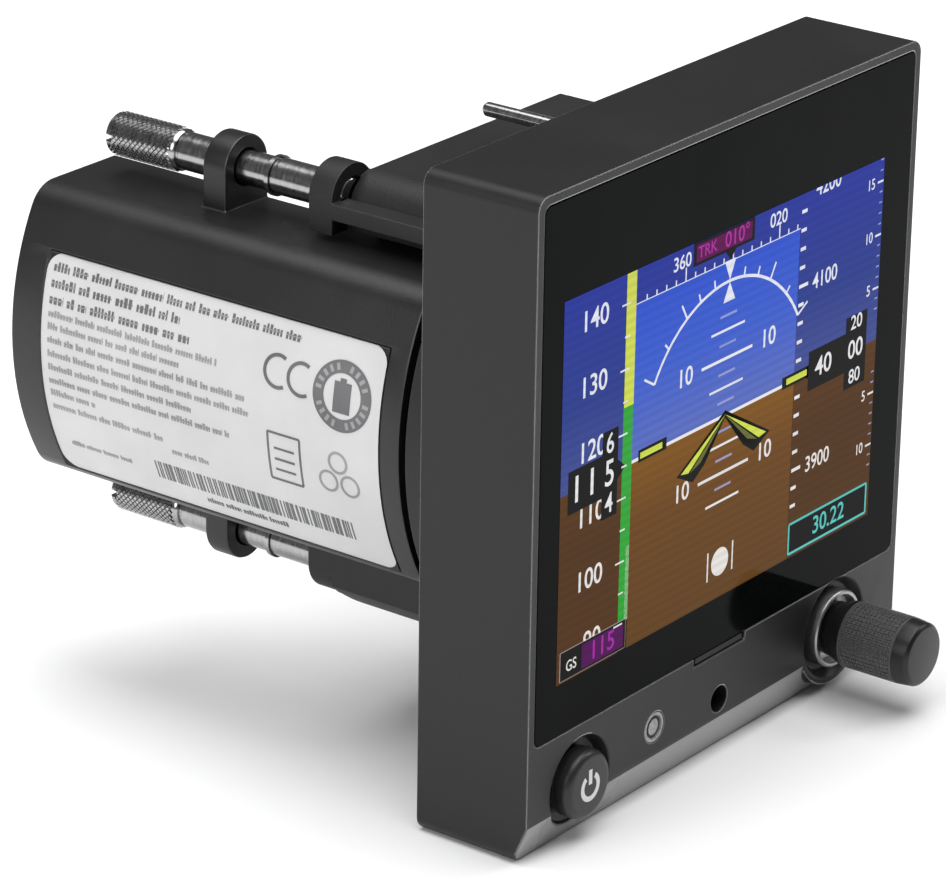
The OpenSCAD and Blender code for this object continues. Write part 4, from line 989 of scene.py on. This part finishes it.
class Sheet:
    # collects flat shapes of one colour, then becomes one piece
    def __init__(self, name, finish, level):
        self.name, self.finish = name, finish
        self.bm = bmesh.new()
        self.y = glassFront - picture["layer"] * level

    def block(self, x0, x1, z0, z1):
        self.stroke((x0 + x1) / 2, z0, (x0 + x1) / 2, z1, x1 - x0)

    def stroke(self, x0, z0, x1, z1, wide):
        length = math.hypot(x1 - x0, z1 - z0)
        lean = Matrix.Rotation(-math.atan2(z1 - z0, x1 - x0), 4, "Y")
        stand = Matrix.Rotation(math.pi / 2, 4, "X")
        size = Matrix.Diagonal((length * mm, wide * mm, 1, 1))
        place = Matrix.Translation((Vector((x0 + x1, 2 * self.y, z0 + z1)) / 2) * mm)
        bmesh.ops.create_grid(self.bm, x_segments=1, y_segments=1, size=0.5, matrix=place @ lean @ stand @ size)

    def shape(self, points):
        self.bm.faces.new([self.bm.verts.new((x * mm, self.y * mm, z * mm)) for x, z in points])

    def arc(self, x, z, radius, wide, start, sweep, steps=60):
        # start is measured clockwise from straight up
        ends = [self.bm.verts.new((x * mm, self.y * mm, (z + r) * mm)) for r in (radius - wide / 2, radius + wide / 2)]
        edge = self.bm.edges.new(ends)
        bmesh.ops.rotate(self.bm, verts=ends, cent=(x * mm, 0, z * mm),
            matrix=Matrix.Rotation(math.radians(start), 3, "Y"))
        bmesh.ops.spin(self.bm, geom=[edge, *ends], cent=(x * mm, 0, z * mm), axis=alongY,
            angle=math.radians(sweep), steps=steps, use_merge=sweep == 360)

    def digits(self, words, x, z, tall, wide=1.0, align="CENTER"):
        curve = bpy.data.curves.new("digits", "FONT")
        curve.body = words
        curve.size = tall * mm / 0.69
        curve.align_x = align
        curve.align_y = "CENTER"
        curve.offset = 0.012 * tall * mm
        carrier = bpy.data.objects.new("digits", curve)
        scene.collection.objects.link(carrier)
        graph = bpy.context.evaluated_depsgraph_get()
        mesh = bpy.data.meshes.new_from_object(carrier.evaluated_get(graph))
        stand = Matrix.Rotation(math.pi / 2, 4, "X")
        place = Matrix.Translation(Vector((x, self.y, z)) * mm)
        mesh.transform(place @ stand @ Matrix.Diagonal((wide, 1, 1, 1)))
        self.bm.from_mesh(mesh)
        bpy.data.objects.remove(carrier)
        bpy.data.curves.remove(curve)
        bpy.data.meshes.remove(mesh)

    def trim(self, x0, x1, z0, z1):
        for place, way in (((x0, 0, 0), (-1, 0, 0)), ((x1, 0, 0), (1, 0, 0)),
                ((0, 0, z0), (0, 0, -1)), ((0, 0, z1), (0, 0, 1))):
            everything = [*self.bm.verts, *self.bm.edges, *self.bm.faces]
            bmesh.ops.bisect_plane(self.bm, geom=everything, plane_co=Vector(place) * mm, plane_no=way,
                dist=0.0000001, clear_outer=True)

    def finishPiece(self):
        self.bm.normal_update()
        backwards = [f for f in self.bm.faces if f.normal.y > 0]
        bmesh.ops.reverse_faces(self.bm, faces=backwards)
        bmesh.ops.solidify(self.bm, geom=self.bm.faces[:], thickness=picture["layer"] * 0.5 * mm)
        bmesh.ops.recalc_face_normals(self.bm, faces=self.bm.faces)
        return keepPiece(self.bm, self.name, self.finish, "instrument", crease=0.0000001)


def makePicture(p):
    level = p["horizon"]
    middle = p["middle"]
    sheets = {
        "sky": Sheet("pictureSky", "skyGlow", 1), "ground": Sheet("pictureGround", "groundGlow", 1),
        "skyTape": Sheet("pictureSkyTape", "skyTapeGlow", 2), "groundTape": Sheet("pictureGroundTape", "groundTapeGlow", 2),
        "soft": Sheet("pictureSoftMarks", "softGlow", 3), "white": Sheet("pictureMarks", "whiteGlow", 3),
        "green": Sheet("pictureGreenBar", "greenGlow", 3), "black": Sheet("pictureBoxes", "blackGlow", 4),
        "yellow": Sheet("pictureYellow", "yellowGlow", 5), "olive": Sheet("pictureOlive", "oliveGlow", 5),
        "purple": Sheet("picturePurple", "purpleGlow", 5), "cyan": Sheet("pictureCyan", "cyanGlow", 5),
        "magenta": Sheet("pictureMagenta", "magentaGlow", 6), "top": Sheet("pictureDigits", "whiteGlow", 6),
    }
    white, soft, black, yellow = sheets["white"], sheets["soft"], sheets["black"], sheets["yellow"]
    sheets["sky"].block(p["barRight"], p["heightLeft"], level, p["headingLow"])
    sheets["ground"].block(p["barRight"], p["heightLeft"], p["low"], level)
    sheets["skyTape"].block(p["left"], p["speedRight"], level, p["high"])
    sheets["skyTape"].block(p["heightLeft"], p["right"], level, p["high"])
    sheets["skyTape"].block(p["barRight"], p["heightLeft"], p["headingLow"], p["high"])
    sheets["groundTape"].block(p["left"], p["speedRight"], p["low"], level)
    sheets["groundTape"].block(p["heightLeft"], p["right"], p["low"], level)
    white.stroke(p["barRight"], level, p["heightLeft"], level, 0.45)

    # pitch lines every 2.5 degrees
    for step in (-6, -5, -4, -3, -2, -1, 1, 2, 3, 4, 5, 6, 7):
        z = level + step * 2.5 * p["perDegree"]
        half = 5.85 if step % 4 == 0 else 3.85 if step % 2 == 0 else 1.9
        sheet = white if step % 2 == 0 else soft
        sheet.stroke(middle - half, z, middle + half, z, 0.42 if step % 4 == 0 else 0.34)
        if step % 4 == 0:
            for side in (-1, 1):
                white.digits("10", middle + side * 9.6, z, 2.5)

    # roll scale with its ticks and pointers
    radius, centre = p["rollRadius"], p["rollCentre"]
    white.arc(middle, centre, radius, 0.42, -60, 120)
    for turn, long in ((-60, 2.6), (-45, 1.2), (-30, 2.5), (-20, 1.3), (-10, 1.3), (10, 1.3), (20, 1.3),
            (30, 2.5), (45, 1.2), (60, 2.6)):
        a = math.radians(turn)
        white.stroke(middle + radius * math.sin(a), centre + radius * math.cos(a),
            middle + (radius + long) * math.sin(a), centre + (radius + long) * math.cos(a), 0.32)
    top = centre + radius
    white.shape([(middle - 1.25, top + 2.9), (middle, top + 0.15), (middle + 1.25, top + 2.9)])
    white.shape([(middle - 1.35, top - 2.8), (middle + 1.35, top - 2.8), (middle, top - 0.15)])

    # heading strip
    white.stroke(p["barRight"], p["headingLow"], p["heightLeft"], p["headingLow"], 0.12)
    for i in range(-9, 8):
        z = p["headingLow"]
        long = 1.9 if i % 5 == 0 else 0.75
        x = middle + 0.6 + i * 2.15
        if p["barRight"] < x < p["heightLeft"]:
            white.stroke(x, z, x, z + long, 0.26)
    white.digits("360", -12.2, 25.2, 1.9)
    white.digits("020", 9.9, 25.2, 1.9)
    black.block(-9.7, 4.2, 23.9, 27.1)
    black.shape([(middle - 1.2, 23.9), (middle, 22.6), (middle + 1.2, 23.9)])
    sheets["purple"].block(-9.1, 3.6, 24.3, 26.7)
    sheets["magenta"].digits("TRK", -6.6, 25.5, 1.6)
    sheets["magenta"].digits("010°", 0.2, 25.5, 2.1)

    # speed tape
    for speed in (140, 130, 120, 110, 100, 90):
        z = level + (speed - p["speed"]) * p["perKnot"]
        sheets["top" if speed < 0 else "white"].digits(str(speed), -28.1, z, 2.75, 1.0, "RIGHT")
    for speed in range(90, 145, 5):
        z = level + (speed - p["speed"]) * p["perKnot"]
        black.stroke(p["speedRight"] - 0.8 if speed % 10 == 0 else p["speedRight"] - 0.1, z,
            p["speedRight"] + 0.1, z, 0.01)
        sheets["top"].stroke(p["speedRight"] - (1.0 if speed % 10 == 0 else 0.2), z, p["speedRight"] + 0.9, z, 0.24)
    yellow.block(p["speedRight"], p["barRight"], 8.9, p["high"])
    sheets["green"].block(p["speedRight"], p["barRight"], -21.2, 8.9)
    white.block(p["barRight"] - 0.75, p["barRight"], -21.2, -10.7)
    black.shape([(-36.1, -2.2), (-28.8, -2.2), (-28.8, -5.3), (-25.4, -5.3), (-25.4, -0.6), (-23.7, 0.8),
        (-25.4, 2.2), (-25.4, 6.8), (-28.8, 6.8), (-28.8, 3.7), (-36.1, 3.7)])
    sheets["top"].digits("1", -34.3, 0.75, 3.6)
    sheets["top"].digits("1", -31.0, 0.75, 3.6)
    sheets["top"].digits("5", -27.2, 0.75, 3.5, 0.9)
    sheets["top"].digits("6", -27.2, 4.9, 2.7, 0.9)
    sheets["top"].digits("4", -27.2, -3.4, 2.7, 0.9)
    black.block(-36.9, -22.7, -25.1, -21.1)
    sheets["purple"].block(-32.3, -23.2, -24.8, -21.4)
    sheets["top"].digits("GS", -34.6, -23.4, 1.5, 0.9)
    sheets["magenta"].digits("115", -27.8, -23.1, 2.6)
    for x0, z0, x1, z1 in ((-36.95, -25.1, -22.7, -25.1), (-36.95, -21.1, -22.7, -21.1),
            (-36.95, -25.1, -36.95, -21.1), (-22.7, -25.1, -22.7, -21.1)):
        soft.stroke(x0, z0, x1, z1, 0.2)

    # height tape
    for i in range(-8, 11):
        z = level + i * p["perTwenty"]
        if p["low"] + 5 < z < p["high"] and abs(i) > 0:
            sheets["top"].stroke(p["heightLeft"] + 0.15, z, p["heightLeft"] + (2.3 if i % 5 == 0 else 1.4), z, 0.5)
    for i, words in ((10, "4200"), (5, "4100"), (-5, "3900")):
        sheets["top"].digits(words, 18.6, level + i * p["perTwenty"] - 0.3, 2.2, 0.95, "LEFT")
    for i, words in ((-2, "10"), (-1, "5"), (1, "5"), (2, "10"), (3, "15")):
        z = level + i * p["climbStep"]
        sheets["top"].digits(words, 33.2, z, 1.5, 0.9, "RIGHT")
        sheets["top"].stroke(33.8, z, 35.2, z, 0.3)
        for part in (-0.4, -0.2, 0.2, 0.4):
            soft.stroke(34.5, z + part * p["climbStep"], 35.2, z + part * p["climbStep"], 0.22)
    black.shape([(17.2, 1.0), (18.6, -0.1), (18.6, -1.9), (27.6, -1.9), (27.6, -4.5), (32.8, -4.5), (32.8, 6.0),
        (27.6, 6.0), (27.6, 3.8), (18.6, 3.8), (18.6, 2.1)])
    sheets["top"].digits("40", 22.2, 0.95, 2.7, 1.05)
    sheets["top"].digits("00", 30.1, 0.95, 2.6, 1.0)
    sheets["top"].digits("20", 30.1, 4.9, 2.0, 1.0)
    sheets["top"].digits("80", 30.1, -3.0, 2.0, 1.0)
    black.block(15.4, 34.6, -24.8, -20.4)
    for x0, z0, x1, z1 in ((15.4, -24.8, 34.6, -24.8), (15.4, -20.4, 34.6, -20.4), (15.4, -24.8, 15.4, -20.4),
            (34.6, -24.8, 34.6, -20.4)):
        sheets["cyan"].stroke(x0, z0, x1, z1, 0.34)
    sheets["cyan"].digits("30.22", 25.2, -22.6, 2.5, 1.0)

    # aircraft symbol and the slip ball
    for side in (-1, 1):
        near, far = middle + side * 14.4, middle + side * 19.3
        black.stroke((near - side * 1.0), level + 0.3, far + side * 0.4, level + 0.3, 1.7)
        yellow.stroke(near, level + 0.3, far, level + 0.3, 0.85)
        apex = (middle, level + 0.1)
        tip, foot = (middle + side * 9.9, level - 5.4), (middle + side * 6.9, level - 6.6)
        inner = (middle + side * 5.0, level - 5.0)
        black.shape([(apex[0], apex[1] + 0.6), (tip[0] + side * 0.9, tip[1] - 0.1), (foot[0] + side * 0.2, foot[1] - 0.7),
            (inner[0] - side * 0.5, inner[1] - 0.6), (apex[0], apex[1] - 0.4)])
        yellow.shape([apex, tip, (middle + side * 8.2, level - 5.7)])
        sheets["olive"].shape([(apex[0], apex[1] - 0.1), (middle + side * 7.8, level - 5.8), (middle + side * 5.4, level - 5.0)])
    white.arc(middle, -20.2, 1.0, 2.0, 0, 360, 36)
    for x in (middle - 2.85, middle + 2.95):
        white.stroke(x, -22.3, x, -18.1, 0.3)

    for name in ("white", "top", "soft"):
        sheets[name].trim(p["left"], p["right"], p["low"], p["high"])
    for sheet in sheets.values():
        sheet.finishPiece()


makePicture(picture)
print("picture ready")
